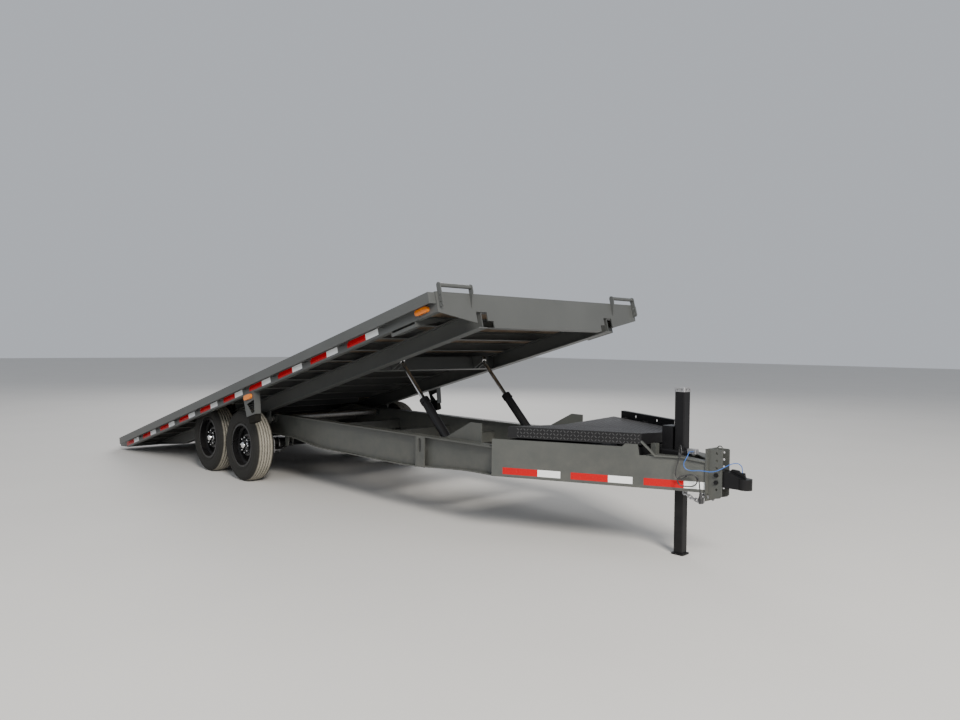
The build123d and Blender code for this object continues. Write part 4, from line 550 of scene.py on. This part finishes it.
def red_and_white(middle, along, across, out, white_end=WHITE_END):
    """A red length and the white one ahead of it, as (start, end, across, out, colour number)."""
    border = middle + along * RED_HALF
    half, thickness = across * TAPE_HALF, out * TAPE_THICK
    return [(middle - along * RED_HALF, border, half, thickness, 0),
            (border, middle + along * white_end, half, thickness, 1)]


def strips(name, runs, body):
    """Tape lengths as one mesh of thin boxes that stand out from the face under them."""
    verts, faces, colours = [], [], []
    for start, end, half, thickness, colour in runs:
        base = [start - half, end - half, end + half, start + half]
        inside_out = (end - start).cross(half).dot(thickness) < 0
        for face in ((4, 5, 6, 7), (0, 1, 5, 4), (1, 2, 6, 5), (2, 3, 7, 6), (3, 0, 4, 7), (3, 2, 1, 0)):
            faces.append([len(verts) + k for k in (face[::-1] if inside_out else face)])
            colours.append(colour)
        verts += base + [corner + thickness for corner in base]
    piece = new_piece(name, verts, faces, TAPES, colours, smooth=False)
    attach(piece, body)


for name, side in SIDES:
    along, up = (on_deck(*way) - PIVOT for way in ((1, 0, 0), (0, 0, 1)))
    runs = []
    for k in range(DECK_TAPES):
        s, out, t = DECK_TAPE
        middle = on_deck(s + DECK_TAPE_PITCH * k, side * out, t)
        runs += red_and_white(middle, along, up, Vector((0, side, 0)))
    strips(f"deck_tape_{name}", runs, "deck")
    plate = tongue_plate(side)
    along, out = (plate.to_3x3() @ Vector(way) for way in ((1, 0, 0), (0, side, 0)))
    runs = []
    for k in range(TONGUE_TAPES):
        x, proud, z = TONGUE_TAPE
        middle = plate @ Vector((x + TONGUE_TAPE_PITCH * k, side * proud, z))
        white_end = TONGUE_WHITE_END if k == TONGUE_TAPES - 1 else WHITE_END
        runs += red_and_white(middle, along, Vector((0, 0, 1)), out, white_end)
    strips(f"tongue_tape_{name}", runs, "frame")


# Cords: the lighting cord loops down from its gland to the plug, and the breakaway
# cable runs from its switch round the coupler channel to the coupler's latch. Their
# jackets are extruded vinyl over copper or wire rope, softly glossy with dusty scuffs.
def jacket(name, colour, roughness):
    material, shader, spot = new_finish(name, colour, roughness, Coat_Weight=0.25, Coat_Roughness=0.3)
    scuff = spot.noise(130, 6, Roughness=0.7)
    worn = scuff.ramp((0.5, 0), (0.8, 0.5))
    worn.mix(colour, tuple(0.12 + part * 0.6 for part in colour)).into(shader, "Base Color")
    (roughness + scuff * 0.25).into(shader, "Roughness")
    (spot.noise(900, 2) + scuff).bump(0.2, 0.0003).into(shader, "Normal")
    return material


FINISHES["cord_black"] = jacket("cord_black", (0.016, 0.016, 0.017), 0.42)
FINISHES["cord_blue"] = jacket("cord_blue", (0.018, 0.10, 0.36), 0.34)
CORD_DIAMETER, CORD_LENGTH = 0.009, 0.955
CORD_ROUTE = (                  # x along the right tongue plate, y square to it
    (1.405, 0.032, 0.748), (1.405, 0.032, 0.771), (1.408, 0.024, 0.793), (1.415, 0.006, 0.807),
    (1.422, -0.016, 0.808), (1.427, -0.033, 0.794), (1.43, -0.038, 0.772), (1.4279, -0.038, 0.7545),
    (1.4192, -0.038, 0.7327), (1.4114, -0.038, 0.7105), (1.4046, -0.038, 0.688), (1.3988, -0.038, 0.6652),
    (1.394, -0.038, 0.6422), (1.3904, -0.038, 0.6189), (1.3924, -0.038, 0.5957), (1.4083, -0.038, 0.5787),
    (1.4313, -0.038, 0.5751), (1.4519, -0.0381, 0.5864), (1.468, -0.04, 0.6034), (1.4882, -0.0407, 0.6149),
    (1.5111, -0.0414, 0.6141), (1.5303, -0.0421, 0.6017), (1.5402, -0.0428, 0.5811),
    (1.5379, -0.0435, 0.5584), (1.5241, -0.0442, 0.5401), (1.5027, -0.0449, 0.5317),
    (1.4794, -0.0471, 0.531), (1.456, -0.0495, 0.5305), (1.4329, -0.0516, 0.5324),
    (1.4141, -0.0532, 0.5446), (1.4065, -0.0548, 0.5659), (1.4135, -0.0564, 0.5875),
    (1.4324, -0.0579, 0.6005), (1.4549, -0.058, 0.607), (1.4779, -0.058, 0.6122), (1.501, -0.0577, 0.6159),
    (1.5239, -0.0559, 0.613), (1.5424, -0.0541, 0.5996), (1.5524, -0.0523, 0.5789),
    (1.5544, -0.0497, 0.5557), (1.5563, -0.0468, 0.5325), (1.5593, -0.044, 0.5093),
    (1.5613, -0.043, 0.4873),
)
CABLE_DIAMETER, CABLE_LENGTH = 0.006, 0.694
CABLE_ROUTE = (                 # x, y and z as places
    (5.255, -0.022, 0.756), (5.255, -0.046, 0.756), (5.2614, -0.069, 0.7596), (5.2713, -0.0905, 0.7645),
    (5.2817, -0.112, 0.7683), (5.2916, -0.134, 0.7682), (5.2972, -0.1535, 0.7552),
    (5.2964, -0.1688, 0.7364), (5.2899, -0.1793, 0.7157), (5.2806, -0.1842, 0.694),
    (5.2818, -0.1824, 0.6699), (5.2954, -0.1755, 0.6513), (5.3165, -0.1658, 0.6443),
    (5.3385, -0.1558, 0.6449), (5.3604, -0.1462, 0.6477), (5.3826, -0.1366, 0.649),
    (5.4044, -0.1264, 0.6478), (5.4259, -0.1157, 0.6453), (5.4481, -0.1061, 0.6454),
    (5.4698, -0.0968, 0.6502), (5.49, -0.0869, 0.6591), (5.5082, -0.076, 0.6706), (5.5251, -0.0643, 0.6832),
    (5.542, -0.0518, 0.6951), (5.5591, -0.0388, 0.7062), (5.5781, -0.0254, 0.7127),
    (5.5984, -0.0124, 0.7122), (5.6151, -0.0034, 0.6972), (5.621, 0.0, 0.674), (5.621, 0.0, 0.65),
)


def hung(name, points, diameter, finish):
    """A round cord on a smooth line through the route's control points."""
    data = bpy.data.curves.new(name, "CURVE")
    data.dimensions = "3D"
    data.resolution_u = 8
    data.bevel_depth = diameter / 2
    data.bevel_resolution = 4
    data.use_fill_caps = True
    line = data.splines.new("NURBS")
    line.points.add(len(points) - 1)
    for control, point in zip(line.points, points):
        control.co = (*point, 1)
    line.order_u = 3
    line.use_endpoint_u = True
    data.materials.append(FINISHES[finish])
    piece = bpy.data.objects.new(name + "_jacket", data)
    bpy.context.scene.collection.objects.link(piece)
    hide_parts(name)
    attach(piece, "frame")
    return piece


points = [tongue_plate(-1) @ Vector(point) for point in CORD_ROUTE]
piece = hung("trailer_cord", points, CORD_DIAMETER, "cord_black")
points = [place(*point) for point in CABLE_ROUTE]
piece = hung("breakaway_cable", points, CABLE_DIAMETER, "cord_blue")


# Tread plate: hot-rolled lozenges, 25 by 7 mm and 1.4 mm high, alternately crosswise.
# They cover both falling halves of the tool box lid and its side skirts, clear of folds,
# and use has rubbed their black paint to a low shine.
LOZENGE_HIGH = 0.0014
LOZENGE_TOP = 0.72              # size of its top beside its foot
LOZENGE_PITCH = 0.0262
LOZENGES_ALONG, SKIRT_ROWS, LEAF_ROWS = 50, 3, 38
FIRST_ALONG = 0.10              # from the plate's rear end
SKIRT_INSET = 0.016             # the skirt's face, inside the tongue plate's outer one
SKIRT_LOW = 0.806
LEAF_INSET = 0.034
LEAF_EDGE = 0.8751              # height of the leaf's face where it meets the skirt
LEAF_FALL = 0.0478              # slope of each leaf towards the middle
SEAM_HALF = 0.022               # bare strip beside the seam between the leaves
SKIRT_REAR, LEAF_REAR, LID_FRONT = (place(x, 0, 0).x for x in (4.104, 4.062, 4.952))


def lozenge():
    """Foot and smaller top of one lozenge, with a corner at each end and three on each flank."""
    flank = ((0.0125, 0), (0.007, 0.0026), (0, 0.0036), (-0.007, 0.0026))
    outline = flank + tuple((-x, -y) for x, y in flank)
    verts = [(x * k, y * k, h) for k, h in ((1, 0), (LOZENGE_TOP, LOZENGE_HIGH)) for x, y in outline]
    faces = [(k, (k + 1) % 8, (k + 1) % 8 + 8, k + 8) for k in range(8)]
    return verts, faces + [tuple(range(8, 16)), tuple(range(8))[::-1]]


spots = []
for side in (-1, 1):
    plate = tongue_plate(side)
    leaf = plate.to_3x3() @ Matrix.Rotation(side * LEAF_FALL, 3, "X")
    skirt = plate.to_3x3() @ Matrix.Rotation(-side * pi / 2, 3, "X")
    rows = [(skirt, SKIRT_REAR, SKIRT_INSET, SKIRT_LOW + LOZENGE_PITCH * j) for j in range(SKIRT_ROWS)]
    for j in range(LEAF_ROWS):
        inset = LEAF_INSET + LOZENGE_PITCH * j
        rows.append((leaf, LEAF_REAR, inset, LEAF_EDGE - LEAF_FALL * (inset - SKIRT_INSET)))
    for i in range(LOZENGES_ALONG):
        for j, (face, rear, inset, height) in enumerate(rows):
            where = plate @ Vector((FIRST_ALONG + LOZENGE_PITCH * i, -side * inset, height))
            if rear < where.x < LID_FRONT and side * where.y > SEAM_HALF:
                turn = face @ Matrix.Rotation(pi / 4 if (i + j) % 2 else -pi / 4, 3, "Z")
                spots.append((where, tuple(turn.to_euler())))
rubbed = painted("rubbed_lozenges", (0.045, 0.045, 0.048), 0.30, 0.12, 0.5)
tread = copies("lid_lozenges", lozenge(), spots, rubbed)
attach(tread, "lid")


# Deck screws: two self-drilling screws hold every plank down to each cross-member.
# Their flat heads sit a hair proud of the timber and have worn bright.
HEAD = capped(8, [(0.0065, 0), (0.0065, 0.0008), (0.0045, 0.0016)])
CROSS_MEMBERS = 17
CROSS_FIRST, CROSS_PITCH, CROSS_WIDTH = -3.050, 0.4064, 0.038
FLOOR_TOP = 0.3288              # above the pivot, square to the deck
SCREW_SPREAD = 0.06             # from the plank's middle to each screw
WELL_MIDDLE, WELL_REACH, WELL_INNER = -0.929, 0.35, 0.82    # no timber over the wheels
screws = []
for row in range(CROSS_MEMBERS):
    s = CROSS_FIRST + CROSS_PITCH * row + CROSS_WIDTH / 2
    for k in range(PLANKS):
        middle = PLANK_PITCH * (k - PLANKS // 2)
        for y in (middle - SCREW_SPREAD, middle + SCREW_SPREAD):
            if abs(y) < WELL_INNER or abs(s - WELL_MIDDLE) > WELL_REACH:
                screws.append((on_deck(s, y, FLOOR_TOP), (0, -TILT, 0)))
piece = copies("deck_screws", HEAD, screws, FINISHES["zinc"])
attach(piece, "deck")


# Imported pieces: beams, plates, running gear and fittings keep their shape, and each
# takes the finish that the record names for it.
for part in frame["record"]["subparts"]:
    node = frame["nodes"][part["node"]]
    node.data.materials.clear()
    node.data.materials.append(FINISHES[part["material_slot"]])
